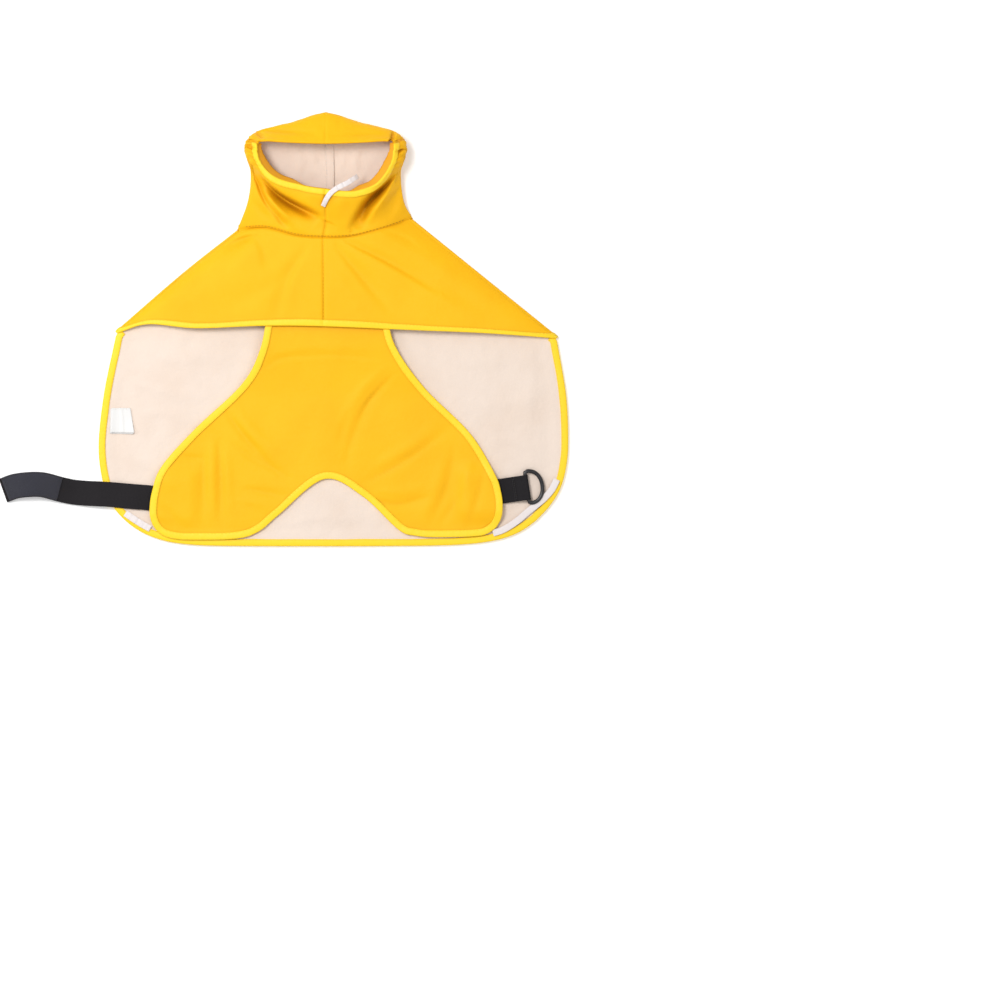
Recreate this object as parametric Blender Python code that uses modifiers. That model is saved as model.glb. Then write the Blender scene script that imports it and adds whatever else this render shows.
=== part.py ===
"""Dog raincoat with a hood, laid out flat with its belly side up.

The coat lies on its outer back.  +Z is up, +Y runs to the hood and +X to the
side with the ring.  The origin is on the underside of the back panel, on the
centreline, 60 mm behind the chest hem.  Lengths are in metres.

The body is one cut piece: a back panel whose two chest wings fold over at the
shoulders and meet in a centre front seam.  It is three solids here, the back
and a wing to each side, so that the hollow between them stays open.
"""
import math

import bmesh
import bpy
import numpy as np
from mathutils import Vector
from mathutils.bvhtree import BVHTree

MM = 0.001
HEM_AHEAD = 60.0 * MM         # the tables' zero stands this far ahead of the origin

# Cloth and trim
GAP = 0.3 * MM                # clearance between pieces at every seam
EASE = 0.3 * MM               # more of it inside a tape on curved cloth
SHELL = 1.0 * MM              # coated outer cloth
LINING = 1.0 * MM             # soft lining of the back and the hood
HOOD_WALL = 1.2 * MM          # the hood's outer cloth with its bonded backing
BIND_WALL = 0.7 * MM          # folded binding tape, each leg
BIND_WIDTH = 6.5 * MM         # what shows of the binding beside an edge
WEB = 1.3 * MM                # elastic webbing
WEB_WIDTH = 25.0 * MM
FLAT_ELASTIC = 5.5 * MM       # width of the white flat elastics

# Heights of the body as it lies
FOLD_RADIUS = 1.8 * MM        # outside of the shoulder fold
FOLD_TOP = 2 * FOLD_RADIUS
LIP = 2.0 * MM                # the wing's lower lip, beside the back panel
HEM_HEIGHT = 15.0 * MM        # chest hem over the belly
EDGE_LIFT = BIND_WALL + GAP   # the back panel rises this much onto its binding
LIFT_WIDTH = 9.0 * MM         # over this distance
LAYER_GAP = 0.4 * MM          # between the back panel and its lining
STACK = SHELL + LAYER_GAP + LINING

# Outlines in plan, in millimetres, x then y
SHOULDER_LEFT = ((-86.5, 98.5), (-141.0, 55.5), (-207.5, -2.0))
SHOULDER_RIGHT = ((85.5, 110.0), (148.0, 59.5), (231.0, -7.5))
SIDE_LEFT = ((-208.0, -7.0), (-220.0, -66.0), (-225.0, -120.0), (-218.5, -161.0), (-190.0, -196.5))
SIDE_RIGHT = ((231.0, -12.0), (240.0, -66.0), (242.0, -112.0), (234.0, -160.0), (210.0, -190.0))
REAR = ((-190.0, -196.5), (-166.0, -208.5), (-136.0, -214.0), (0.0, -215.0),
        (140.0, -213.5), (184.0, -206.5), (210.0, -190.0))
CHEST_HEM = ((-207.5, -2.0), (-176.0, 6.5), (-128.0, 2.5), (-60.0, 5.0), (0.0, 4.5),
             (90.0, 0.5), (160.0, -2.5), (231.0, -7.5))
FRONT_SEAM_X = -1.5
FLAP_TOP = 19.0
FLAP_LEFT = ((-56.0, FLAP_TOP), (-63.5, -20.0), (-82.0, -55.0), (-130.0, -101.0),
             (-163.0, -138.0), (-173.0, -177.0), (-163.0, -199.0))
FLAP_RIGHT = ((61.0, FLAP_TOP), (69.0, -16.0), (98.0, -58.0), (144.0, -104.0),
              (170.0, -144.0), (175.0, -180.0), (164.0, -197.5))
FLAP_REAR = ((-163.0, -199.0), (-138.0, -205.0), (-88.0, -204.0), (-47.0, -180.0), (-1.0, -148.0),
             (38.0, -165.0), (74.0, -198.5), (112.0, -204.5), (148.0, -202.5), (164.0, -197.5))

# Neck ring, in millimetres, from the front round each side to the back
NECK = {
    # station: (left x, left y, right x, right y, z)
    "front": (FRONT_SEAM_X, 92.0, FRONT_SEAM_X, 92.0, 18.0),
    "chin": (-28.0, 94.0, 28.0, 93.5, 17.2),
    "cheek": (-60.0, 102.0, 60.0, 101.5, 13.6),
    "side": (-87.5, 99.5, 87.0, 111.0, 1.8),
    "temple": (-76.0, 97.5, 78.0, 107.0, 0.0),
    "brow": (-58.0, 96.0, 60.0, 100.5, 0.0),
    "crown": (-38.0, 95.2, 40.0, 96.5, 0.0),
    "back": (FRONT_SEAM_X, 95.0, FRONT_SEAM_X, 95.0, 0.0),
}

# Outer face of the hood, in millimetres: x from its centreline, y, z on four
# rings between the neck seam and the edge of the face opening
HOOD_CENTRE = 1.0
HOOD = {
    # station: collar            swell               roll                edge
    "front": ((0.0, 106.0, 22.0), (0.0, 119.0, 27.0), (0.0, 131.0, 31.0), (0.0, 139.5, 32.0)),
    "chin": ((28.0, 108.0, 22.0), (28.0, 122.0, 27.0), (28.0, 134.0, 31.0), (28.0, 142.5, 32.0)),
    "cheek": ((58.0, 116.0, 18.0), (57.0, 131.0, 25.0), (57.0, 144.0, 31.0), (52.0, 151.0, 32.0)),
    "side": ((77.5, 128.0, 9.0), (74.0, 155.0, 14.0), (77.5, 172.0, 24.0), (66.5, 168.0, 31.0)),
    "temple": ((70.0, 130.0, 0.0), (72.0, 166.0, 3.0), (80.0, 186.0, 17.0), (69.0, 187.0, 29.0)),
    "brow": ((58.0, 131.0, 0.0), (62.0, 173.0, 1.5), (69.0, 197.5, 14.0), (60.0, 190.0, 30.0)),
    "crown": ((40.0, 132.0, 0.0), (42.0, 178.0, 0.5), (42.0, 205.5, 14.0), (38.0, 188.5, 31.0)),
    "back": ((0.0, 132.0, 0.0), (0.0, 183.0, 0.5), (0.0, 217.5, 14.0), (0.0, 187.0, 31.5)),
}

# Largest creases: start x, y, end x, y, half width, depth, in millimetres
HOOD_CREASES = (
    (-66.0, 154.0, -8.0, 112.0, 6.0, 4.5),
    (74.0, 158.0, 30.0, 106.0, 6.5, 5.0),
)
CHEST_CREASES = (
    (-30.0, 84.0, -96.0, 34.0, 9.0, 1.6),
    (40.0, 84.0, 118.0, 30.0, 10.0, 1.8),
)
FLAP_CREASES = (
    (-40.0, -60.0, -136.0, -176.0, 11.0, -1.6),
    (44.0, -66.0, 132.0, -178.0, 11.0, -1.6),
)

# Belly strap, from under the flap to its free end: x, y, underside z
STRAP_ROUTE = ((-140.0, -170.5, 2.8), (-160.0, -169.5, 2.8), (-178.0, -167.6, 3.5), (-193.0, -166.4, 4.8),
               (-215.0, -164.5, 5.0), (-228.0, -163.8, 4.8), (-240.0, -163.2, 2.4), (-252.0, -162.0, 1.0),
               (-264.0, -159.5, 2.6), (-281.0, -155.0, 7.6), (-294.0, -154.5, 8.6), (-309.0, -156.2, 5.6),
               (-321.5, -160.5, 0.6))
HOOK_START = 8                # the hook tape covers the route from this point on
HOOK = 1.0 * MM

# Ring and its tab
RING_BAR = (202.0, -157.4)    # middle of the straight bar in plan, in millimetres
RING_TURN = math.radians(8.5)   # the tab's heading, up from +X
RING_ROD = 2.0 * MM
RING_HALF = 16.2 * MM
RING_DEPTH = 15.4 * MM
TAB_LENGTH = 52.0 * MM        # from the fold round the bar back to the sewn end


def spline(points, places):
    """A smooth line through the given points, at even places or at given fractions."""
    knots = np.array(points, float)
    before = 2 * knots[0] - knots[1]
    after = 2 * knots[-1] - knots[-2]
    full = np.vstack([before, knots, after])
    fine = []
    for i in range(len(knots) - 1):
        p0, p1, p2, p3 = full[i:i + 4]
        for t in np.linspace(0, 1, 25)[:-1 if i < len(knots) - 2 else None]:
            fine.append(0.5 * (2 * p1 + (p2 - p0) * t + (2 * p0 - 5 * p1 + 4 * p2 - p3) * t * t
                               + (3 * p1 - p0 - 3 * p2 + p3) * t ** 3))
    return resample(np.array(fine), places)


def resample(line, places):
    """The same line at a number of even places, or at given fractions of its length."""
    steps = np.linalg.norm(np.diff(line, axis=0), axis=1)
    along = np.concatenate([[0.0], np.cumsum(steps)])
    wanted = along[-1] * (np.linspace(0.0, 1.0, places) if isinstance(places, int) else np.array(places))
    return np.column_stack([np.interp(wanted, along, line[:, k]) for k in range(line.shape[1])])


def ease(t):
    """Smooth step from 0 to 1."""
    t = np.clip(t, 0.0, 1.0)
    return t * t * (3 - 2 * t)


def distance_to_line(xy, line):
    """Distance in plan from each point to a polyline."""
    best = np.full(xy.shape[:-1], 1e9)
    for a, b in zip(line[:-1, :2], line[1:, :2]):
        ab = b - a
        t = np.clip(((xy - a) @ ab) / (ab @ ab), 0, 1)
        best = np.minimum(best, np.linalg.norm(xy - a - t[..., None] * ab, axis=-1))
    return best


def creases(xy, table):
    """How far the cloth dips at each point for a table of straight creases."""
    dip = np.zeros(xy.shape[:-1])
    for x0, y0, x1, y1, half, depth in table:
        line = np.array([(x0, y0), (x1, y1)]) * MM
        run = line[1] - line[0]
        t = np.clip(((xy - line[0]) @ run) / (run @ run), 0, 1)
        away = distance_to_line(xy, line)
        fade = np.sin(math.pi * (0.08 + 0.84 * t)) ** 0.6
        dip += depth * MM * fade * np.exp(-(away / (half * MM)) ** 2)
    return dip


def patch(top, bottom, left, right, across=None, down=None):
    """Grid of points between four border lines; its rows run from top to bottom."""
    across = np.linspace(0, 1, len(top)) if across is None else across
    down = np.linspace(0, 1, len(left)) if down is None else down
    v = down[:, None, None]
    u = across[None, :, None]
    ruled = (1 - v) * top[None] + v * bottom[None] + (1 - u) * left[:, None] + u * right[:, None]
    corners = ((1 - u) * (1 - v) * top[0] + u * (1 - v) * top[-1]
               + (1 - u) * v * bottom[0] + u * v * bottom[-1])
    return ruled - corners


COLLECTION = "dog_raincoat"


def clear_scene():
    """Remove every object and give the part its own collection."""
    for thing in list(bpy.data.objects):
        bpy.data.objects.remove(thing, do_unlink=True)
    home = bpy.data.collections.new(COLLECTION)
    bpy.context.scene.collection.children.link(home)
    return home


def material(name, colour, roughness, alpha=1.0):
    """A Principled material in one colour."""
    mat = bpy.data.materials.new(name)
    mat.use_nodes = True
    shader = mat.node_tree.nodes["Principled BSDF"]
    shader.inputs["Base Color"].default_value = (*colour, 1.0)
    shader.inputs["Roughness"].default_value = roughness
    shader.inputs["Metallic"].default_value = 0.0
    shader.inputs["Alpha"].default_value = alpha
    return mat


def finish_names():
    """Colour, roughness and alpha of each finish."""
    return {
        "yellow_shell": ((0.97, 0.58, 0.03), 0.55, 1.0),
        "lemon_binding": ((1.0, 0.78, 0.06), 0.6, 1.0),
        "cream_lining": ((0.93, 0.80, 0.70), 0.85, 1.0),
        "black_webbing": ((0.02, 0.018, 0.02), 0.8, 1.0),
        "hook_tape": ((0.05, 0.05, 0.07), 0.9, 1.0),
        "white_elastic": ((0.88, 0.86, 0.86), 0.75, 1.0),
        "black_plastic": ((0.012, 0.012, 0.014), 0.3, 1.0),
        "white_label": ((0.9, 0.9, 0.9), 0.7, 1.0),
        "clear_film": ((0.9, 0.92, 0.93), 0.1, 0.35),
    }


def own_material(node, finish):
    """Give a node its own copy of a finish."""
    colour, roughness, alpha = finish_names()[finish]
    node.data.materials.append(material(f"{finish}.{node.name}", colour, roughness, alpha))


def grid_object(home, name, grid, finish, wall, side=-1.0):
    """A closed solid: a grid of points as an open surface, thickened by Solidify.

    side is -1 where the grid is the face that its normals leave, +1 where the
    wall grows along them.
    """
    rows, cols = grid.shape[:2]
    mesh = bpy.data.meshes.new(name)
    build = bmesh.new()
    verts = [[build.verts.new(Vector(grid[i, j])) for j in range(cols)] for i in range(rows)]
    for i in range(rows - 1):
        for j in range(cols - 1):
            build.faces.new((verts[i][j], verts[i + 1][j], verts[i + 1][j + 1], verts[i][j + 1]))
    build.to_mesh(mesh)
    build.free()
    node = bpy.data.objects.new(name, mesh)
    home.objects.link(node)
    thick = node.modifiers.new("wall", "SOLIDIFY")
    thick.thickness = wall
    thick.offset = side
    thick.use_even_offset = True
    thick.use_quality_normals = True
    mesh.shade_smooth()
    own_material(node, finish)
    return node


def tangents(line):
    """Unit direction along a line at each of its points."""
    run = np.gradient(line, axis=0)
    return run / np.linalg.norm(run, axis=1)[:, None]


def binding(home, name, edge, inward, up, stack, width=BIND_WIDTH, finish="lemon_binding"):
    """Tape folded over an edge, its legs a gap away from the cloth on both faces.

    edge is the line along the lower face of the cloth, inward the unit direction
    into it and up the unit normal from its lower to its upper face.
    """
    reach = width - BIND_WALL - GAP
    profile = ((reach, -GAP), (-GAP, -GAP), (-GAP, stack + GAP), (reach, stack + GAP))
    grid = np.array([[e + d * n + h * z for d, h in profile] for e, n, z in zip(edge, inward, up)])
    return grid_object(home, name, grid, finish, BIND_WALL, 1.0)


def plan_inward(line, keep_left):
    """Mitred normals in plan, to the left of the line's heading or to its right."""
    run = np.diff(line[:, :2], axis=0)
    run /= np.linalg.norm(run, axis=1)[:, None]
    side = np.column_stack([-run[:, 1], run[:, 0]]) * (1.0 if keep_left else -1.0)
    before = np.vstack([side[:1], side])
    after = np.vstack([side, side[-1:]])
    mitre = (before + after) / (1 + np.sum(before * after, axis=1))[:, None]
    return np.column_stack([mitre, np.zeros(len(line))])


def grid_tree(grid):
    """Search tree of a grid's surface."""
    rows, cols = grid.shape[:2]
    faces = []
    for i in range(rows - 1):
        for j in range(cols - 1):
            a = i * cols + j
            faces += [(a, a + cols, a + cols + 1), (a, a + cols + 1, a + 1)]
    return BVHTree.FromPolygons([Vector(p) for p in grid.reshape(-1, 3)], faces)


def lie_along(grid, line, inward, width, least=-9.0):
    """Inward directions tilted so that a leg of that width lies along the grid's surface.

    least is the steepest fall allowed, as a slope.
    """
    tree = grid_tree(grid)
    tilted = inward.copy()
    for i, (start, way) in enumerate(zip(line, inward)):
        aim = start + way * width
        hit = tree.ray_cast(Vector((aim[0], aim[1], 1.0)), Vector((0, 0, -1)))[0]
        if hit is not None:
            tilted[i, 2] = max((hit.z - start[2]) / width, least)
    return tilted


def edge_curves():
    """The body's outline in plan, as named lines in metres."""
    return {
        "shoulder_left": spline(np.array(SHOULDER_LEFT) * MM, 60),
        "shoulder_right": spline(np.array(SHOULDER_RIGHT) * MM, 60),
        "bound": np.vstack([spline(np.array(SIDE_LEFT) * MM, 60), spline(np.array(REAR) * MM, 90)[1:],
                            spline(np.array(SIDE_RIGHT) * MM, 60)[::-1][1:]]),
    }


EDGES = edge_curves()

# Leash flap under the back, hanging from the neck seam: a strip with a round end
LEASH_HALF = 31.0 * MM
LEASH_LENGTH = 65.0 * MM
LEASH_TOP = 93.0 * MM
LEASH_CENTRE = -1.5 * MM
LEASH_MARGIN = 14.0 * MM      # the back panel is level this far beyond the flap
LEASH_STACK = SHELL + 2 * (GAP + BIND_WALL)


def back_height(xy):
    """Height of the back panel's outer face, which is its underside."""
    near = distance_to_line(xy, EDGES["bound"])
    hem = -0.5 * MM - 7.0 * MM * np.clip(xy[..., 0] / SHOULDER_RIGHT[-1][0] / MM, 0, 1)
    corner = ease((hem - xy[..., 1]) / (5.0 * MM))
    lift = EDGE_LIFT * (1 - ease((near - BIND_WIDTH - 1.5 * MM) / LIFT_WIDTH)) * corner
    across = np.abs(xy[..., 0] - LEASH_CENTRE) - LEASH_HALF - LEASH_MARGIN
    along = (LEASH_TOP - LEASH_LENGTH) - xy[..., 1] - LEASH_MARGIN
    outside = np.maximum(np.maximum(across, along), 0.0)
    raise_over = (LEASH_STACK + GAP) * (1 - ease(outside / (16.0 * MM)))
    return lift + raise_over


def lining_top(xy):
    """Height of the lining's upper face."""
    return back_height(xy) + STACK


def body_outline(inset, rows):
    """Left and right borders of the back from the neck to the rear corners."""
    sides = []
    for shoulder, side, sign in ((SHOULDER_LEFT, SIDE_LEFT, 1.0), (SHOULDER_RIGHT, SIDE_RIGHT, -1.0)):
        fold = spline(np.array(shoulder) * MM, rows[0])
        run = np.gradient(fold, axis=0)
        normal = np.column_stack([-run[:, 1], run[:, 0]]) / np.linalg.norm(run, axis=1)[:, None]
        fold = fold + normal * inset * sign
        last = np.concatenate([np.linspace(0, 1, rows[1])[:-1], [0.95, 1.0]])
        lower = spline(np.array(side) * MM, last)
        joined = np.vstack([fold, lower])
        sides.append(joined)
    return sides


BACK_ROWS = (7, 10)
BACK_COLS = 17
BORDER = 0.018                # the outermost column's share of a panel's width


def back_grid(inset, drop):
    """Plan of the back panel or its lining as a grid; inset is from the folds."""
    left, right = body_outline(inset, BACK_ROWS)
    neck = np.array([(NECK[k][0], NECK[k][1]) for k in ("temple", "brow", "crown", "back")]
                    + [(NECK[k][2], NECK[k][3]) for k in ("crown", "brow", "temple")]) * MM
    neck = np.vstack([left[0], neck, right[0]])
    across = with_borders(BACK_COLS)
    top = spline(neck, across)
    top[:, 1] -= drop
    left[0] = top[0]
    right[0] = top[-1]
    bottom = spline(np.array(REAR) * MM, across)
    return patch(top, bottom, left, right, across)


def with_borders(count):
    """Even fractions from 0 to 1, with one more beside each end."""
    middle = np.linspace(0, 1, count - 2)
    return np.concatenate([[0.0, BORDER], middle[1:-1], [1 - BORDER, 1.0]])


def make_back(home):
    """Back panel and its lining."""
    plan = back_grid(LIP + GAP, GAP)
    shell = np.dstack([plan, back_height(plan)])
    grid_object(home, "back_panel", shell, "yellow_shell", SHELL, 1.0)
    plan = back_grid(0.7 * MM, GAP)
    lining = np.dstack([plan, back_height(plan) + SHELL + LAYER_GAP])
    grid_object(home, "back_lining", lining, "cream_lining", LINING, 1.0)


def border(grid, first):
    """The grid's left side from a row on, its last row and its right side back up."""
    return np.vstack([grid[first:, 0], grid[-1, 1:-1], grid[first:, -1][::-1]])


def make_back_binding(home):
    """Tape round the back's sides and rear, from corner to corner."""
    plan = back_grid(LIP + GAP, GAP)
    first = BACK_ROWS[0]
    grid = np.dstack([plan, back_height(plan)])
    line = border(grid, first)
    line[0] += (line[1] - line[0]) * 0.35
    line[-1] += (line[-2] - line[-1]) * 0.35
    inward = lie_along(grid, line, plan_inward(line, True), BIND_WIDTH, 0.0)
    up = np.tile((0.0, 0.0, 1.0), (len(line), 1))
    binding(home, "back_binding", line, inward, up, STACK)


def neck_line(side, start, end, count):
    """Part of the neck ring on one side, between two station numbers."""
    names = list(NECK)
    pick = (0, 1) if side == "left" else (2, 3)
    knots = np.array([(NECK[k][pick[0]], NECK[k][pick[1]], NECK[k][4]) for k in names]) * MM
    other = (2, 3) if side == "left" else (0, 1)
    mirror = [np.array((NECK[k][other[0]], NECK[k][other[1]], NECK[k][4])) * MM
              for k in (names[1], names[-2])]
    full = np.vstack([mirror[0], knots, mirror[1]])
    out = []
    for s in np.linspace(start, end, count):
        i = min(int(s), len(knots) - 2)
        t = s - i
        p0, p1, p2, p3 = full[i:i + 4]
        out.append(0.5 * (2 * p1 + (p2 - p0) * t + (2 * p0 - 5 * p1 + 4 * p2 - p3) * t * t
                          + (3 * p1 - p0 - 3 * p2 + p3) * t ** 3))
    return np.array(out)


WING_ROWS = 9
WING_COLS = 12
TAPE_START = 9                # the hem's tape starts at this column, clear of the fold


def wing_grid(side):
    """Outer face of one chest wing, with the shoulder fold and its lower lip."""
    sign = 1.0 if side == "left" else -1.0
    shoulder = SHOULDER_LEFT if side == "left" else SHOULDER_RIGHT
    fold = spline(np.array(shoulder) * MM, WING_ROWS)
    run = np.gradient(fold, axis=0)
    inward = np.column_stack([-run[:, 1], run[:, 0]]) / np.linalg.norm(run, axis=1)[:, None] * sign
    fold3 = np.column_stack([fold, np.full(WING_ROWS, FOLD_TOP)])
    hem = np.array(CHEST_HEM) * MM
    hem_line = spline(hem, 400)
    seam = FRONT_SEAM_X * MM
    half = hem_line[hem_line[:, 0] <= seam] if side == "left" else hem_line[hem_line[:, 0] >= seam][::-1]
    swing = 1 - np.cos(np.linspace(0, math.pi / 2, WING_COLS))
    fine = resample(half, 200)
    hem_xy = np.column_stack([np.interp(swing, np.linspace(0, 1, 200), fine[:, k]) for k in range(2)])
    rise = np.sqrt(1 - (1 - swing) ** 2)
    bottom = np.column_stack([hem_xy, FOLD_TOP + (HEM_HEIGHT - FOLD_TOP) * rise])
    top = neck_line(side, 2.86, 0.0, WING_COLS)
    top[:, 1] -= GAP
    top[0] = (*fold[0], FOLD_TOP)
    front_shift = GAP / 2 * sign
    top[-1, 0] = seam - front_shift
    bottom[-1, 0] = seam - front_shift
    right = np.linspace(top[-1], bottom[-1], WING_ROWS)
    grid = patch(top, bottom, fold3, right)
    dip = creases(grid[..., :2], CHEST_CREASES)
    inside = ease(np.linspace(0, 1, WING_COLS) * 4)[None, :] * ease(np.linspace(1, 0, WING_ROWS) * 5)[:, None]
    grid[..., 2] -= dip * inside
    roll = []
    for k, z in ((LIP, 0.0), (0.0, 0.0), (-FOLD_RADIUS * 0.8, FOLD_RADIUS * 0.4),
                 (-FOLD_RADIUS, FOLD_RADIUS), (-FOLD_RADIUS * 0.8, FOLD_RADIUS * 1.6)):
        roll.append(np.column_stack([fold + inward * k, np.full(WING_ROWS, z)]))
    roll = np.stack(roll, axis=1)
    whole = np.concatenate([roll, grid], axis=1)
    along = (fold[1] - fold[0]) / np.linalg.norm(fold[1] - fold[0])
    whole[0, :6, :2] += along * 3 * GAP
    return whole


def make_wings(home):
    """Left and right chest wings."""
    for side in ("left", "right"):
        grid = wing_grid(side)
        if side == "right":
            grid = grid[:, ::-1]
        grid_object(home, f"chest_{side}", grid, "yellow_shell", SHELL, -1.0)


def make_chest_binding(home):
    """Tape along the chest hem from shoulder to shoulder."""
    lines = []
    ways = []
    for side in ("left", "right"):
        grid = wing_grid(side)[:, TAPE_START:]
        line = grid[-1]
        lines.append(line if side == "left" else line[::-1][1:])
        way = lie_along(grid, line, plan_inward(line, side == "left"), BIND_WIDTH)
        ways.append(way if side == "left" else way[::-1][1:])
    edge = np.vstack(lines)
    inward = np.vstack(ways)
    run = tangents(edge)
    up = np.cross(run, inward)
    up *= np.sign(up[:, 2:]) / np.linalg.norm(up, axis=1)[:, None]
    binding(home, "chest_binding", edge - up * (SHELL + EASE), inward, up, SHELL + 2 * EASE)


def flap_height(xy):
    """Height of the belly flap's lower face."""
    x, y = xy[..., 0], xy[..., 1]
    rest = lining_top(xy) + 2 * GAP + EASE + BIND_WALL
    over_strap = 2.7 * MM * ease((-x - 122 * MM) / (14 * MM)) * ease(1.8 - np.abs(y + 168 * MM) / (20 * MM))
    over_tab = 3.9 * MM * ease((x - 128 * MM) / (16 * MM)) * ease(1.8 - np.abs(y + 163 * MM) / (20 * MM))
    level = rest + over_strap + over_tab - creases(xy, FLAP_CREASES)
    hem = HEM_HEIGHT - 2 * SHELL - 3 * GAP - 2 * (EASE + BIND_WALL)
    sewn = 0.8 * MM * ease((y - 11 * MM) / (7 * MM))
    climb = ease((y + 72 * MM) / (66 * MM))
    return level * (1 - climb) + hem * climb + sewn


FLAP_ROWS = 16
FLAP_COLS = 17
SEWN_ROW = 0.026              # the flap climbs to the chest above this share of its length


def make_flap(home):
    """Belly flap with its two lobes, and the tape round it."""
    down = np.concatenate([[0.0, SEWN_ROW], np.linspace(0.075, 1.0, FLAP_ROWS - 2)])
    left = spline(np.array(FLAP_LEFT) * MM, down)
    right = spline(np.array(FLAP_RIGHT) * MM, down)
    rear = spline(np.array(FLAP_REAR) * MM, FLAP_COLS)
    top = np.linspace(left[0], right[0], FLAP_COLS)
    plan = patch(top, rear, left, right, None, down)
    grid = np.dstack([plan, flap_height(plan)])
    grid_object(home, "belly_flap", grid, "yellow_shell", SHELL, 1.0)
    line = border(grid, 2)
    inward = lie_along(grid, line, plan_inward(line, True), BIND_WIDTH)
    up = np.tile((0.0, 0.0, 1.0), (len(line), 1))
    binding(home, "flap_binding", line - up * EASE, inward, up, SHELL + 2 * EASE)


HOOD_ROWS = 11
HOOD_COLS = 19


def hood_grid(side):
    """Outer face of one half of the hood: columns front to back, rows neck to face."""
    names = list(HOOD)
    sign = -1.0 if side == "left" else 1.0
    rings = [neck_line(side, 0.0, len(names) - 1.0, HOOD_COLS)]
    for ring in range(4):
        knots = np.array([HOOD[k][ring] for k in names]) * MM
        mirror_front = knots[1] * (-1, 1, 1)
        mirror_back = knots[-2] * (-1, 1, 1)
        full = np.vstack([mirror_front, knots, mirror_back])
        out = []
        for s in np.linspace(0, len(names) - 1, HOOD_COLS):
            i = min(int(s), len(names) - 2)
            t = s - i
            p0, p1, p2, p3 = full[i:i + 4]
            out.append(0.5 * (2 * p1 + (p2 - p0) * t + (2 * p0 - 5 * p1 + 4 * p2 - p3) * t * t
                              + (3 * p1 - p0 - 3 * p2 + p3) * t ** 3))
        out = np.array(out)
        out[:, 0] = out[:, 0] * sign + HOOD_CENTRE * MM
        rings.append(out)
    rings = np.array(rings)
    columns = [spline(rings[:, j], HOOD_ROWS) for j in range(HOOD_COLS)]
    grid = np.stack(columns, axis=1)
    front = ease((grid[..., 2] - 8 * MM) / (8 * MM)) * ease((205 * MM - grid[..., 1]) / (20 * MM))
    v = np.linspace(0, 1, HOOD_ROWS)[:, None]
    inside = ease(v * 4) * ease((1 - v) * 4)
    grid[..., 2] -= creases(grid[..., :2], HOOD_CREASES) * front * inside
    grid[..., 2] = np.maximum(grid[..., 2], 0.0)
    seam = -GAP if side == "left" else GAP
    centre = np.linspace(FRONT_SEAM_X, HOOD_CENTRE, HOOD_ROWS) * MM
    grid[:, 0, 0] = centre + seam
    grid[:, -1, 0] = centre + seam
    return grid


def make_hood(home):
    """Both halves of the hood, the lining of its back and the tape on the chin."""
    for side in ("left", "right"):
        grid = hood_grid(side)
        if side == "right":
            grid = grid[:, ::-1]
        grid_object(home, f"hood_{side}", grid, "yellow_shell", HOOD_WALL, -1.0)


def whole_hood(rows, first_column):
    """Rows of both halves as one grid, from one side round the back to the other."""
    left = hood_grid("left")[rows, first_column:]
    right = hood_grid("right")[rows, first_column:]
    middle = (left[:, -1:] + right[:, -1:]) / 2
    return np.concatenate([left[:, :-1], middle, right[:, :-1][:, ::-1]], axis=1)


LINING_COLUMN = 12            # the hood's lining runs from this column of each half round the back
LINING_ROWS = 7


def hood_lining_grid():
    """Lower face of the lining that lies on the back of the hood, left to right."""
    grid = whole_hood(slice(0, LINING_ROWS), LINING_COLUMN)
    return grid + np.array((0.0, 0.0, HOOD_WALL + 2 * GAP))


def drape(tree, xy, gap):
    """Points a gap above a surface at places in plan."""
    out = []
    for x, y in xy:
        hit = tree.ray_cast(Vector((x, y, 1.0)), Vector((0, 0, -1)))[0]
        out.append((x, y, hit.z + gap))
    return np.array(out)


def ribbon(home, name, path, across, width, wall, finish):
    """A flat tape: a line of points with the unit direction across it at each."""
    grid = np.stack([path + across * width / 2, path - across * width / 2], axis=1)
    return grid_object(home, name, grid, finish, wall, 1.0)


def flat_across(path):
    """Directions in plan across a path, to the right of its heading."""
    run = tangents(path[:, :2])
    return np.column_stack([run[:, 1], -run[:, 0], np.zeros(len(path))])


TAPE_WIDTH = 9.0 * MM
TAPE_X = 4.5 * MM


def make_hood_inside(home):
    """Lining of the hood's back, and the seam tape down its middle."""
    grid = hood_lining_grid()
    grid_object(home, "hood_lining", grid[:, ::-1], "cream_lining", LINING, 1.0)
    ends = np.array([(TAPE_X, grid[:, 6, 1].min() + 2 * MM), (TAPE_X, grid[:, 6, 1].max() - 3 * MM)])
    path = drape(grid_tree(grid), resample(ends, 7), LINING + 2 * GAP)
    ribbon(home, "hood_seam_tape", path, flat_across(path), TAPE_WIDTH, 0.6 * MM, "cream_lining")


FACE_LAST = 10                # the chin tape ends at this column of each half
FACE_WIDTH = 5.7 * MM


def make_face_binding(home):
    """Tape on the U of the face opening, from temple to temple past the chin."""
    edges = []
    ways = []
    for side in ("left", "right"):
        grid = hood_grid(side)[:, :FACE_LAST + 1]
        edges.append(grid[-1][::-1] if side == "left" else grid[-1][1:])
        way = grid[-2] - grid[-1]
        ways.append(way[::-1] if side == "left" else way[1:])
    edge = np.vstack(edges)
    edge = edge[::-1]
    inward = np.vstack(ways)[::-1]
    inward /= np.linalg.norm(inward, axis=1)[:, None]
    up = np.cross(tangents(edge), inward)
    up /= np.linalg.norm(up, axis=1)[:, None]
    up *= np.sign(up[len(up) // 2, 2])
    binding(home, "face_binding", edge - up * (HOOD_WALL + EASE), inward, up,
            HOOD_WALL + 2 * EASE, FACE_WIDTH)


VISOR_COLUMN = 14
VISOR_DEPTH_ROWS = 9
VISOR_TAIL = 6.0 * MM         # straight front edge, inside the tape
VISOR_HALF = 62.0 * MM


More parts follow.
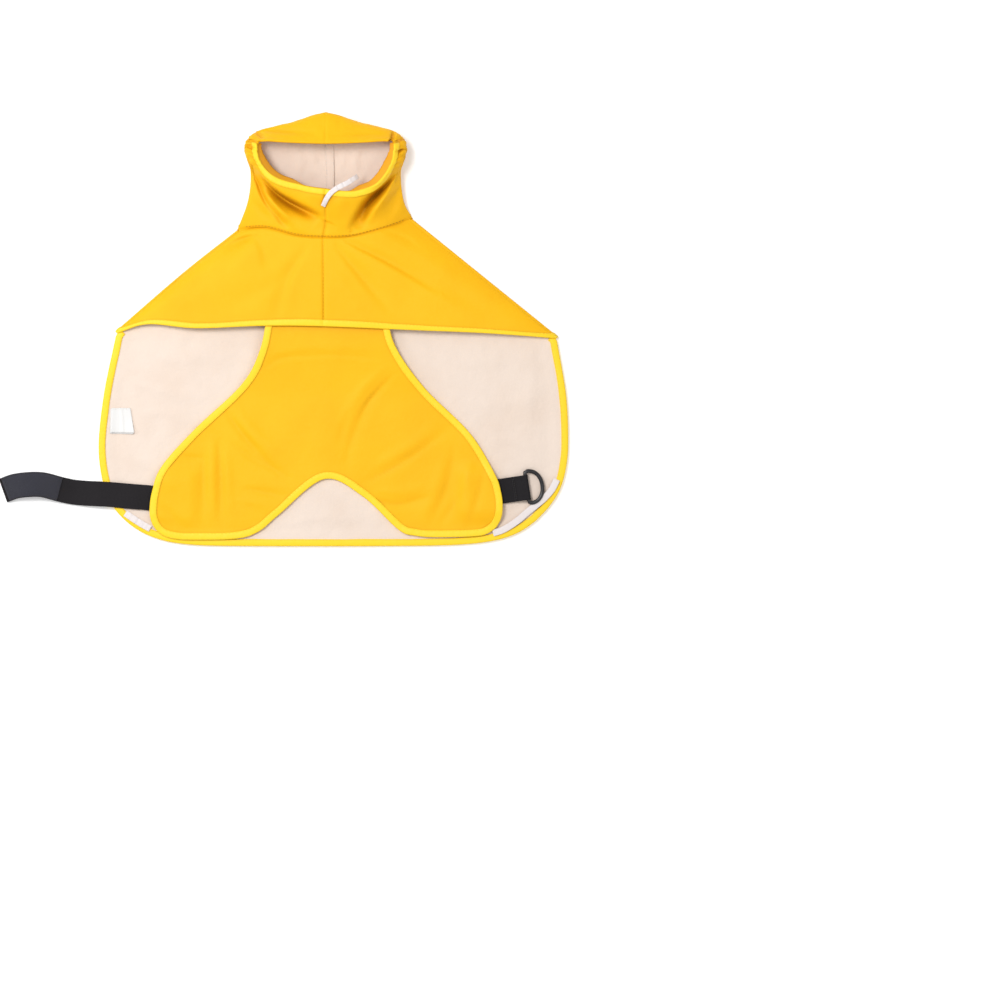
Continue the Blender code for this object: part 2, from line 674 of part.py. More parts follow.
def make_visor(home):
    """Clear brim, sewn inside the crown's edge and curled back into the crown."""
    edge = whole_hood(slice(-1, None), VISOR_COLUMN)[0]
    edge = resample(edge, 17)
    reach = np.clip(np.abs(edge[:, 0] - HOOD_CENTRE * MM) / VISOR_HALF, 0, 1)
    radius = 7.0 * MM * (1 - 0.45 * reach ** 2)
    middle_y = edge[:, 1] + 0.8 * MM + 4.7 * MM * (1 - reach ** 2)
    middle_z = edge[:, 2] - 7.5 * MM - radius
    turn = math.radians(60) + math.radians(110) * np.sqrt(1 - reach ** 4 * 0.98)
    rows = []
    for k in np.linspace(0, 1, VISOR_DEPTH_ROWS):
        angle = math.pi / 2 - turn * k
        rows.append(np.column_stack([edge[:, 0], middle_y + radius * np.cos(angle),
                                     middle_z + radius * np.sin(angle)]))
    tail = np.column_stack([0 * angle, np.sin(angle), -np.cos(angle)])
    rows.append(rows[-1] + VISOR_TAIL * tail)
    grid = np.array(rows)
    grid_object(home, "visor", grid, "clear_film", 0.8 * MM, 1.0)
    line = grid[-1][1:-1]
    way = grid[-2][1:-1] - line
    way /= np.linalg.norm(way, axis=1)[:, None]
    up = np.cross(tangents(line), way)
    up /= np.linalg.norm(up, axis=1)[:, None]
    binding(home, "visor_binding", line, way, up, 0.8 * MM, 3.5 * MM)


def make_leash_flap(home):
    """Flap over the leash slot: a strip with a round end, bound, under the back."""
    half, length = LEASH_HALF, LEASH_LENGTH
    side = 0.72 * half
    low = LEASH_TOP - length
    left = np.array([(-half, LEASH_TOP), (-half, low + half), (-0.93 * half, low + 0.6 * half),
                     (-side, low + 0.31 * half)])
    rear = np.array([(-side, low + 0.31 * half), (0.0, low), (side, low + 0.31 * half)])
    left = spline(left, 8)
    rear = spline(rear, 7)
    right = left * (-1, 1)
    top = np.linspace(left[0], right[0], 7)
    plan = patch(top, rear, left, right) + (LEASH_CENTRE, 0.0)
    grid = np.dstack([plan, np.full(plan.shape[:2], EDGE_LIFT)])
    grid_object(home, "leash_flap", grid, "yellow_shell", SHELL, 1.0)
    line = border(grid, 0)
    up = np.tile((0.0, 0.0, 1.0), (len(line), 1))
    binding(home, "leash_binding", line, plan_inward(line, True), up, SHELL, 6.0 * MM)


def make_strap(home):
    """Belly strap, with the hook tape on its free end."""
    route = spline(np.array(STRAP_ROUTE) * MM, 34)
    ribbon(home, "belly_strap", route, flat_across(route), WEB_WIDTH, WEB, "black_webbing")
    hook = [i for i, p in enumerate(route) if p[0] < STRAP_ROUTE[HOOK_START][0] * MM]
    part = route[hook[0]:hook[-1]]
    run = tangents(part)
    across = flat_across(part)
    up = np.cross(across, run)
    up *= np.sign(up[:, 2:])
    part = part + up * (WEB + GAP)
    ribbon(home, "hook_tape", part, across, WEB_WIDTH - 1 * MM, HOOK, "hook_tape")


TAB_LOW = STACK + 2 * GAP + WEB   # inner face of the tab's lower ply
BAR_HEIGHT = TAB_LOW + GAP + RING_ROD


def make_ring_tab(home):
    """Webbing tab folded round the ring's bar."""
    centre = np.array((*RING_BAR, 0.0)) * MM
    heading = np.array((math.cos(RING_TURN), math.sin(RING_TURN), 0.0))
    radius = RING_ROD + GAP
    tail = TAB_LENGTH - 12.0 * MM
    profile = [(-tail, TAB_LOW + GAP), (-0.6 * tail, TAB_LOW + GAP), (-0.38 * tail, TAB_LOW + 1.0 * MM),
               (-0.16 * tail, BAR_HEIGHT + 0.62 * radius)]
    for angle in np.linspace(105, -90, 9):
        turn = math.radians(angle)
        profile.append((radius * math.cos(turn), BAR_HEIGHT + radius * math.sin(turn)))
    profile += [(-0.3 * tail, TAB_LOW), (-tail, TAB_LOW)]
    path = np.array([centre + heading * t + np.array((0.0, 0.0, z)) for t, z in profile])
    across = np.tile((math.sin(RING_TURN), -math.cos(RING_TURN), 0.0), (len(path), 1))
    ribbon(home, "ring_tab", path, across, WEB_WIDTH, WEB, "black_webbing")


def make_ring(home):
    """D-shaped ring; its origin is on its bar's axis."""
    curve = bpy.data.curves.new("d_ring", "CURVE")
    curve.dimensions = "3D"
    curve.bevel_depth = RING_ROD
    curve.bevel_resolution = 2
    curve.use_fill_caps = True
    points = [(0.0, w) for w in np.linspace(-0.92, 0.92, 3) * RING_HALF]
    for angle in np.linspace(84, -84, 13):
        turn = math.radians(angle)
        points.append((RING_DEPTH * math.cos(turn) ** 0.75, RING_HALF * math.sin(turn)))
    line = curve.splines.new("POLY")
    line.points.add(len(points) - 1)
    for point, (t, w) in zip(line.points, points):
        point.co = (t, w, 0.0, 1.0)
    line.use_cyclic_u = True
    node = bpy.data.objects.new("d_ring", curve)
    node.location = (RING_BAR[0] * MM, RING_BAR[1] * MM, BAR_HEIGHT)
    drop = BAR_HEIGHT - (STACK + 5 * GAP + RING_ROD)
    node.rotation_euler = (0.0, math.asin(drop / RING_DEPTH), RING_TURN)
    home.objects.link(node)
    own_material(node, "black_plastic")


REAR_ELASTICS = {
    # name: places in plan, in millimetres
    "elastic_left": ((-191.0, -181.5), (-183.5, -187.0), (-176.0, -192.5)),
    "elastic_right": ((227.5, -148.5), (223.5, -159.0), (217.0, -169.5), (208.5, -178.0),
                      (200.5, -184.0), (191.0, -190.5), (181.0, -195.5)),
}
LABEL_CORNERS = ((-213.5, -78.0), (-194.4, -78.0), (-190.5, -103.0), (-214.0, -102.5))


def make_small_trim(home):
    """Flat elastics of the rear corners and the bare care label."""
    plan = back_grid(0.7 * MM, GAP)
    tree = grid_tree(np.dstack([plan, lining_top(plan)]))
    for name, places in REAR_ELASTICS.items():
        path = drape(tree, spline(np.array(places) * MM, 3 * len(places)), 2 * GAP)
        ribbon(home, name, path, flat_across(path), FLAT_ELASTIC - 0.5 * MM, 0.5 * MM, "white_elastic")
    a, b, c, d = (np.array(p) * MM for p in LABEL_CORNERS)
    plan = patch(np.linspace(a, b, 5), np.linspace(d, c, 5), np.linspace(a, d, 5), np.linspace(b, c, 5))
    grid = drape(tree, plan.reshape(-1, 2), 2 * GAP).reshape(5, 5, 3)
    grid_object(home, "care_label", grid, "white_label", 0.8 * MM, 1.0)


CHIN_ELASTIC = (
    # x, y, underside z in millimetres, from inside the opening over the tape to the front
    (33.0, 152.5, 25.8), (29.0, 150.0, 30.3), (22.0, 145.5, 33.4), (14.0, 141.5, 34.0),
    (7.0, 136.5, 34.0), (2.0, 130.0, 32.6), (-1.5, 123.0, 30.2),
)


def make_chin_elastic(home):
    """Loose end of the elastic that runs in the chin's tape."""
    path = spline(np.array(CHIN_ELASTIC) * MM, 12)
    ribbon(home, "chin_elastic", path, flat_across(path), FLAT_ELASTIC, 0.8 * MM, "white_elastic")


def main():
    """Build every piece of the coat."""
    home = clear_scene()
    make_back(home)
    make_back_binding(home)
    make_leash_flap(home)
    make_wings(home)
    make_chest_binding(home)
    make_flap(home)
    make_hood(home)
    make_hood_inside(home)
    make_face_binding(home)
    make_visor(home)
    make_strap(home)
    make_ring_tab(home)
    make_ring(home)
    make_small_trim(home)
    make_chin_elastic(home)
    for node in home.objects:
        node.location.y += HEM_AHEAD


main()
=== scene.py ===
"""Dog raincoat with a hood, laid out flat with its belly side up.

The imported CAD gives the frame: +Z out of the surface the coat lies on, +Y to
the hood, +X to the side with the ring.  Every table is in millimetres and
counts y from the chest hem, which lies HEM_AHEAD in front of the origin.
"""

import logging
import math
from dataclasses import dataclass, field
from enum import Enum
from typing import Any, Callable, Iterable, Optional, Sequence, Union

import bmesh
import bpy
import numpy as np
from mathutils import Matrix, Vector
from mathutils.bvhtree import BVHTree

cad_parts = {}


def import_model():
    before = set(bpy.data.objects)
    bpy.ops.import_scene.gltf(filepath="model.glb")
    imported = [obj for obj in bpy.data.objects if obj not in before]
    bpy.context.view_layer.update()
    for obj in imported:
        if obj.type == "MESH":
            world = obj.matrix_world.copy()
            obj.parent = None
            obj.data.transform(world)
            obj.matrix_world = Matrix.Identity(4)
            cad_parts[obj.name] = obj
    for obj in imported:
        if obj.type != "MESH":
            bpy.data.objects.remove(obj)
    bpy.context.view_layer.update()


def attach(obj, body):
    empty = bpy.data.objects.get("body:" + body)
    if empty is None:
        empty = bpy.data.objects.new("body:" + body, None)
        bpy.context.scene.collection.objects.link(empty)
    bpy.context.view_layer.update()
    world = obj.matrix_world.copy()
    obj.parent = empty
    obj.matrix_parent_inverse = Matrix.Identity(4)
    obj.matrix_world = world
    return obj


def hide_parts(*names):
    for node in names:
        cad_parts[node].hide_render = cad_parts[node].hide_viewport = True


MM = 0.001
HEM_AHEAD = 60.0 * MM
COAT = "coat"
RING = "ring"
CREASE_SHADE = (0.52, 0.44, 0.4)    # red, green and blue of the painted shade in a crease, as shares of the deep tone
WHITE = (1.0, 1.0, 1.0, 1.0)
TAPE_WIDTH = 6.5 * MM
MERGE = 2e-6                        # points closer than this are one, in metres

Colour = tuple[float, float, float]
Piece = bpy.types.Object
Table = Sequence[Sequence[float]]
Link = Union[float, "Value"]
log = logging.getLogger("dog_raincoat")


class Side(Enum):
    """Left or right half, as the coat lies."""

    LEFT = -1
    RIGHT = 1

    @property
    def turn(self) -> float:
        """1 on the left and -1 on the right: which way its grids are turned."""
        return -float(self.value)


class Grow(Enum):
    """Side of its grid on which a sheet's wall is."""

    BEHIND = -1.0
    AHEAD = 1.0


# ---------------------------------------------------------------------------
# Lines and grids of points
# ---------------------------------------------------------------------------

def resample(line: np.ndarray, places: Union[int, Sequence[float]]) -> np.ndarray:
    """The same line at other places.

    Args:
        line: points along the line.
        places: a number of even places, or fractions of its length.

    Returns:
        One point for each place.
    """
    steps = np.linalg.norm(np.diff(line, axis=0), axis=1)
    along = np.concatenate([[0.0], np.cumsum(steps)])
    even = np.linspace(0.0, 1.0, places) if isinstance(places, int) else np.array(places)
    return np.column_stack([np.interp(even * along[-1], along, line[:, k]) for k in range(line.shape[1])])


def bend(points: np.ndarray, s: float) -> np.ndarray:
    """A place on a smooth line through knots, whose first and last only steer it.

    Args:
        points: the knots, with one extra at each end.
        s: how many knots along, from 0 at the second one.

    Returns:
        The point.
    """
    i = min(int(s), len(points) - 4)
    t = s - i
    p0, p1, p2, p3 = points[i:i + 4]
    return 0.5 * (2 * p1 + (p2 - p0) * t + (2 * p0 - 5 * p1 + 4 * p2 - p3) * t * t
                  + (3 * p1 - p0 - 3 * p2 + p3) * t ** 3)


def spline(points: Union[Table, np.ndarray], places: Union[int, Sequence[float]]) -> np.ndarray:
    """A smooth line through points.

    Args:
        points: the knots.
        places: a number of even places, or fractions of its length.

    Returns:
        One point for each place.
    """
    knots = np.array(points, float)
    full = np.vstack([2 * knots[0] - knots[1], knots, 2 * knots[-1] - knots[-2]])
    fine = np.array([bend(full, s) for s in np.linspace(0, len(knots) - 1, 25 * len(knots))])
    return resample(fine, places)


def ease(t: Any) -> Any:
    """Smooth step from 0 to 1."""
    t = np.clip(t, 0.0, 1.0)
    return t * t * (3 - 2 * t)


def tangents(line: np.ndarray) -> np.ndarray:
    """Unit direction along a line at each of its points."""
    run = np.gradient(line, axis=0)
    return run / np.maximum(np.linalg.norm(run, axis=1), 1e-12)[:, None]


def unit(rows: np.ndarray) -> np.ndarray:
    """The same directions at length 1."""
    return rows / np.maximum(np.linalg.norm(rows, axis=-1, keepdims=True), 1e-12)


def wander(s: np.ndarray, pitch: float, seed: int) -> np.ndarray:
    """An uneven wave between about -1 and 1.

    Args:
        s: places along it.
        pitch: its mean wavelength.
        seed: picks its phases.

    Returns:
        Its height at each place.
    """
    luck = np.random.default_rng(seed).uniform(0, 2 * math.pi, 4)
    waves = ((1.0, 0.5), (0.618, 0.3), (1.71, 0.25), (2.9, 0.12))
    return sum(size * np.sin(2 * math.pi * rate * s / pitch + turn)
               for (rate, size), turn in zip(waves, luck))


def rumple(xy: np.ndarray, pitch: float, seed: int) -> np.ndarray:
    """Uneven soft waves over a surface.

    Args:
        xy: places in plan.
        pitch: the mean wavelength.
        seed: picks directions and phases.

    Returns:
        Heights between about -1 and 1.
    """
    rng = np.random.default_rng(seed)
    total = np.zeros(xy.shape[:-1])
    for _ in range(7):
        angle = rng.uniform(0, math.pi)
        rate = 2 * math.pi / (pitch * rng.uniform(0.55, 1.7))
        way = np.array((math.cos(angle), math.sin(angle)))
        total += np.sin(xy[..., :2] @ way * rate + rng.uniform(0, 2 * math.pi)) / 3.2
    return total


def nearest(xy: np.ndarray, line: np.ndarray) -> tuple[np.ndarray, np.ndarray, np.ndarray]:
    """How each point lies beside a line in plan.

    Args:
        xy: the points.
        line: the line's points.

    Returns:
        Distance, fraction along the line, and which side (+1 on its left).
    """
    steps = np.linalg.norm(np.diff(line[:, :2], axis=0), axis=1)
    along = np.concatenate([[0.0], np.cumsum(steps)]) / steps.sum()
    best = np.full(xy.shape[:-1], 1e9)
    place = np.zeros(xy.shape[:-1])
    hand = np.ones(xy.shape[:-1])
    for k, (a, b) in enumerate(zip(line[:-1, :2], line[1:, :2])):
        ab = b - a
        t = np.clip(((xy[..., :2] - a) @ ab) / (ab @ ab), 0, 1)
        gap = xy[..., :2] - a - t[..., None] * ab
        away = np.linalg.norm(gap, axis=-1)
        turn = np.sign(ab[0] * gap[..., 1] - ab[1] * gap[..., 0])
        closer = away < best
        best = np.where(closer, away, best)
        place = np.where(closer, along[k] + t * (along[k + 1] - along[k]), place)
        hand = np.where(closer, turn, hand)
    return best, place, hand


def folds(xy: np.ndarray, table: Table) -> np.ndarray:
    """Height that listed folds add to a cloth.

    Args:
        xy: places in plan, in metres.
        table: start, middle and end in plan, half width, height (a trough is
            below 0) and lean, which makes one flank steeper; in millimetres.

    Returns:
        The height to add, in metres.
    """
    total = np.zeros(xy.shape[:-1])
    for x0, y0, x1, y1, x2, y2, half, height, lean in table:
        line = spline(((x0, y0), (x1, y1), (x2, y2)), 14) * MM
        away, place, hand = nearest(xy, line)
        width = half * MM * (0.65 + 0.7 * place) * (1 + lean * hand)
        fade = np.sin(math.pi * (0.04 + 0.92 * place)) ** 0.7
        total += height * MM * fade * bell(away, width)
    return total


def patch(top: np.ndarray, bottom: np.ndarray, left: np.ndarray, right: np.ndarray,
          across: np.ndarray, down: np.ndarray) -> np.ndarray:
    """Grid of points between four border lines.

    Args:
        top, bottom: first and last row.
        left, right: first and last column.
        across, down: fraction of each column and of each row.

    Returns:
        Rows of points from top to bottom.
    """
    v = down[:, None, None]
    u = across[None, :, None]
    ruled = (1 - v) * top[None] + v * bottom[None] + (1 - u) * left[:, None] + u * right[:, None]
    corners = ((1 - u) * (1 - v) * top[0] + u * (1 - v) * top[-1]
               + (1 - u) * v * bottom[0] + u * v * bottom[-1])
    return ruled - corners


def plan_inward(line: np.ndarray) -> np.ndarray:
    """Level unit directions to the left of a line's heading, at each of its points."""
    run = tangents(line[:, :2])
    return unit(np.column_stack([-run[:, 1], run[:, 0], np.zeros(len(run))]))


def grid_tree(grid: np.ndarray) -> BVHTree:
    """Search tree of a grid's surface."""
    rows, cols = grid.shape[:2]
    corner = (np.arange(rows - 1)[:, None] * cols + np.arange(cols - 1)).ravel()
    faces = [(int(a), int(a + cols), int(a + cols + 1), int(a + 1)) for a in corner]
    return BVHTree.FromPolygons([Vector(p) for p in grid.reshape(-1, 3)], faces)


def height_at(tree: BVHTree, x: float, y: float) -> Optional[float]:
    """Height of a surface at a place in plan, or None beside it."""
    hit = tree.ray_cast(Vector((x, y, 1.0)), Vector((0, 0, -1)))[0]
    return None if hit is None else hit.z


def drape(tree: BVHTree, xy: Iterable[Sequence[float]], gap: float, default: float = 0.0) -> np.ndarray:
    """Points a gap above a surface.

    Args:
        tree: the surface.
        xy: places in plan.
        gap: the height over it.
        default: the height where there is no surface.

    Returns:
        One point for each place.
    """
    out = []
    for x, y in xy:
        height = height_at(tree, x, y)
        out.append((x, y, (default if height is None else height) + gap))
    return np.array(out)


def lie_along(grid: np.ndarray, line: np.ndarray) -> np.ndarray:
    """Directions into a surface from its edge, tilted so that a tape's leg lies on it.

    Args:
        grid: the surface.
        line: its edge, with the surface on the left.

    Returns:
        One direction for each point.
    """
    tree = grid_tree(grid)
    tilted = plan_inward(line)
    for i, aim in enumerate(line + tilted * TAPE_WIDTH):
        height = height_at(tree, aim[0], aim[1])
        if height is not None:
            tilted[i, 2] = (height - line[i, 2]) / TAPE_WIDTH
    span = 9
    padded = np.pad(tilted[:, 2], span // 2, mode="edge")
    tilted[:, 2] = np.convolve(padded, np.ones(span) / span, mode="valid")
    return tilted


def rim(grid: np.ndarray, first: int) -> np.ndarray:
    """A grid's border down its left side from a row, along its last row and up its right side."""
    return np.vstack([grid[first:, 0], grid[-1, 1:-1], grid[first:, -1][::-1]])


def upright(count: int) -> np.ndarray:
    """The upward direction, once for each point."""
    return np.tile((0.0, 0.0, 1.0), (count, 1))


def bell(away: np.ndarray, width: float) -> np.ndarray:
    """Weight that is 1 on a line and dies away beside it."""
    return np.exp(-(away / width) ** 2)


def above(value: np.ndarray, start: float, run: float) -> np.ndarray:
    """Weight that rises from 0 at a start to 1 after a run, both in millimetres."""
    return ease((value - start * MM) / (run * MM))


def below(value: np.ndarray, start: float, run: float) -> np.ndarray:
    """Weight that rises from 0 at a start to 1 a run lower, both in millimetres."""
    return ease((start * MM - value) / (run * MM))


def normals_of(grid: np.ndarray) -> np.ndarray:
    """Unit normal at each point of a grid: down its rows crossed with along them."""
    return unit(np.cross(np.gradient(grid, axis=0), np.gradient(grid, axis=1)))


# ---------------------------------------------------------------------------
# Shader graphs
# ---------------------------------------------------------------------------

def rgba(colour: Sequence[float]) -> tuple[float, float, float, float]:
    """A colour with full alpha."""
    return (colour[0], colour[1], colour[2], 1.0)


def operator(operation: str, swapped: bool = False) -> Callable[["Value", Link], "Value"]:
    """A method that puts a Math node on a value and another one.

    Args:
        operation: the node's operation.
        swapped: the other value comes first.

    Returns:
        The method.
    """
    def method(self: "Value", other: Link) -> "Value":
        """The operation on self and other."""
        pair = (other, self) if swapped else (self, other)
        return self.graph.node("ShaderNodeMath", {"operation": operation}, dict(enumerate(pair)))
    return method


@dataclass
class Value:
    """A shader socket that takes part in Python expressions."""

    graph: "Graph"
    socket: Any

    __add__ = __radd__ = operator("ADD")
    __sub__ = operator("SUBTRACT")
    __rsub__ = operator("SUBTRACT", swapped=True)
    __mul__ = __rmul__ = operator("MULTIPLY")
    __pow__ = operator("POWER")

    def wave(self) -> "Value":
        """Sine of the value."""
        return self.graph.node("ShaderNodeMath", {"operation": "SINE"}, {0: self})

    def size(self) -> "Value":
        """The value without its sign."""
        return self.graph.node("ShaderNodeMath", {"operation": "ABSOLUTE"}, {0: self})


class Graph:
    """The nodes of one material."""

    def __init__(self, name: str) -> None:
        """Start a material with its Principled shader only."""
        self.material = bpy.data.materials.new(name)
        self.material.use_nodes = True
        self.tree = self.material.node_tree
        self.shader = self.tree.nodes["Principled BSDF"]

    def node(self, kind: str, settings: dict[str, Any], inputs: dict[Union[int, str], Any],
             output: Union[int, str] = 0) -> Value:
        """Add any node.

        Args:
            kind: the node's type.
            settings: its properties.
            inputs: a number, colour or Value for each socket.
            output: the socket to return.

        Returns:
            The chosen output.
        """
        made = self.tree.nodes.new(kind)
        for key, value in settings.items():
            setattr(made, key, value)
        for key, value in inputs.items():
            self.plug(made.inputs[key], value)
        return Value(self, made.outputs[output])

    def plug(self, socket: bpy.types.NodeSocket, value: Any) -> None:
        """Link a Value to an input socket, or set a constant there."""
        if isinstance(value, Value):
            self.tree.links.new(value.socket, socket)
        else:
            socket.default_value = value

    def feed(self, **inputs: Any) -> None:
        """Set or link sockets of the shader, named with underscores for spaces."""
        for name, value in inputs.items():
            self.plug(self.shader.inputs[name.replace("_", " ")], value)

    def places(self) -> Value:
        """Object coordinates, in metres."""
        return self.node("ShaderNodeTexCoord", {}, {}, "Object")

    def thread_lines(self) -> tuple[Value, Value]:
        """Distance along and across the cloth's grain, in metres."""
        uv = self.node("ShaderNodeUVMap", {"uv_map": "grain"}, {})
        split = self.tree.nodes.new("ShaderNodeSeparateXYZ")
        self.tree.links.new(uv.socket, split.inputs[0])
        return Value(self, split.outputs["X"]), Value(self, split.outputs["Y"])

    def noise(self, scale: float, detail: float = 2.0, rough: float = 0.5) -> Value:
        """Smooth noise about 0.5, with a feature size of 1 / scale metres."""
        return self.node("ShaderNodeTexNoise", {}, {"Vector": self.places(), "Scale": scale,
                                                    "Detail": detail, "Roughness": rough})

    def blend(self, amount: Link, first: Any, second: Any) -> Value:
        """Mix two colours by an amount."""
        first, second = (rgba(tone) if isinstance(tone, tuple) else tone for tone in (first, second))
        return self.node("ShaderNodeMix", {"data_type": "RGBA", "clamp_factor": True},
                         {0: amount, 6: first, 7: second}, 2)

    def bump(self, height: Value, depth: float, strength: float) -> None:
        """Give the shader a bump of a depth in metres."""
        self.feed(Normal=self.node("ShaderNodeBump", {}, {"Height": height, "Distance": depth,
                                                          "Strength": strength}, "Normal"))


class Weave(Enum):
    """How a cloth's threads cross."""

    PLAIN = "plain"
    TWILL = "twill"
    RIB = "rib"
    KNIT = "knit"


def weave_height(graph: Graph, weave: Weave, pitch: float) -> Value:
    """Height of a cloth's threads.

    Args:
        graph: the material's graph.
        weave: how the threads cross.
        pitch: distance between neighbouring threads, in metres.

    Returns:
        A value between about -1 and 1.
    """
    along, across = graph.thread_lines()
    rate = 2 * math.pi / pitch
    if weave is Weave.TWILL:
        return ((along + across) * rate).wave() * 0.7 + (along * rate).wave() * 0.3
    if weave is Weave.RIB:
        return (across * rate).wave() * 0.75 + (along * (rate * 1.6)).wave() * 0.25
    if weave is Weave.KNIT:
        return ((across * rate).wave().size() * 2.0 - 1.0) * 0.6 + (along * (rate * 0.9)).wave() * 0.4
    return (along * rate).wave() * (across * rate).wave()


@dataclass(frozen=True)
class Cloth:
    """A woven, coated or knitted finish.

    Lengths are in metres, and a scale is the number of features per metre.
    """

    name: str
    colour: Colour
    deep: Colour
    weave: Weave
    pitch: float
    rough: float
    bump_depth: float
    bump_strength: float
    patch_scale: float = 14.0
    patch_amount: float = 0.35
    grain_scale: float = 900.0
    grain_amount: float = 0.4
    fuzz: float = 0.0
    crumple: float = 0.0
    crumple_scale: float = 85.0
    shine: float = 0.35
    # painted shade in creases and hollows: its strength, and how far the occlusion looks
    crease: float = 0.0
    crease_reach: float = 16.0 * MM

    def material(self) -> bpy.types.Material:
        """Build the material: tone, thread colour, painted shade in creases, roughness and relief."""
        graph = Graph(self.name)
        threads = weave_height(graph, self.weave, self.pitch)
        cloud = graph.noise(self.patch_scale, 3.0, 0.55)
        grain = graph.noise(self.grain_scale, 2.0, 0.6)
        tone = (cloud - 0.5) * (2.2 * self.patch_amount) + (0.5 - threads * 0.5) * 0.22
        tone = tone + (grain - 0.5) * (0.5 * self.grain_amount)
        base = graph.blend(tone, self.colour, self.deep)
        # painted shade: ambient occlusion darkens the base colour in creases, seams and under edges
        if self.crease:
            opened = graph.node("ShaderNodeAmbientOcclusion", {"samples": 8},
                                {"Distance": self.crease_reach}, "AO")
            shade = tuple(part * share for part, share in zip(self.deep, CREASE_SHADE))
            base = graph.blend((1.0 - opened) * self.crease, base, shade)
        graph.feed(Base_Color=base, Sheen_Weight=self.fuzz, Sheen_Roughness=0.6,
                   Roughness=(grain - 0.5) * 0.16 + (cloud - 0.5) * 0.12 + self.rough,
                   Specular_IOR_Level=self.shine)
        relief = threads * 0.6 + (grain - 0.5) * self.grain_amount
        if self.crumple:
            relief = relief + (graph.noise(self.crumple_scale, 4.0, 0.6) - 0.5) * self.crumple
        graph.bump(relief, self.bump_depth, self.bump_strength)
        return graph.material


@dataclass(frozen=True)
class HookFace:
    """Hook tape: a dense field of small plastic hooks."""

    name: str
    colour: Colour
    tip: Colour
    pitch: float

    def material(self) -> bpy.types.Material:
        """Build the material: rows of pale hook tips on a dark ground."""
        graph = Graph(self.name)
        along, across = graph.thread_lines()
        rate = 2 * math.pi / self.pitch
        tips = (along * rate).wave() * (across * rate).wave() + (graph.noise(1500.0) - 0.5) * 0.8
        shown = (tips * 0.5 + 0.5) ** 3.0
        graph.feed(Base_Color=graph.blend(shown, self.colour, self.tip), Roughness=0.62 - shown * 0.2)
        graph.bump(tips, 0.35 * MM, 0.8)
        return graph.material


@dataclass(frozen=True)
class Moulded:
    """Moulded plastic with a faint flow texture."""

    name: str
    colour: Colour
    worn: Colour
    rough: float

    def material(self) -> bpy.types.Material:
        """Build the material: fine stipple and slightly paler rubbed spots."""
        graph = Graph(self.name)
        stipple = graph.noise(2600.0, 2.0, 0.6)
        rubbed = graph.noise(160.0, 3.0, 0.6)
        graph.feed(Base_Color=graph.blend((rubbed - 0.45) * 1.6, self.colour, self.worn),
                   Roughness=(stipple - 0.5) * 0.2 + (rubbed - 0.5) * 0.25 + self.rough)
        graph.bump(stipple, 0.05 * MM, 0.35)
        return graph.material


@dataclass(frozen=True)
class ClearFilm:
    """Soft clear vinyl film with a slight ripple."""

    name: str
    colour: Colour
    rough: float
    alpha: float

    def material(self) -> bpy.types.Material:
        """Build the material: mostly see-through, cloudier in soft patches."""
        graph = Graph(self.name)
        haze = graph.noise(60.0, 3.0, 0.55)
        graph.feed(Base_Color=rgba(self.colour), Roughness=(haze - 0.5) * 0.12 + self.rough,
                   Alpha=(haze - 0.5) * 0.3 + self.alpha)
        graph.bump(haze, 0.4 * MM, 0.4)
        return graph.material


def twisted(name: str, colour: Colour, deep: Colour, rough: float) -> Cloth:
    """Finish of a twisted sewing thread."""
    return Cloth(name, colour, deep, Weave.TWILL, 0.3 * MM, rough, 0.05 * MM, 0.4)


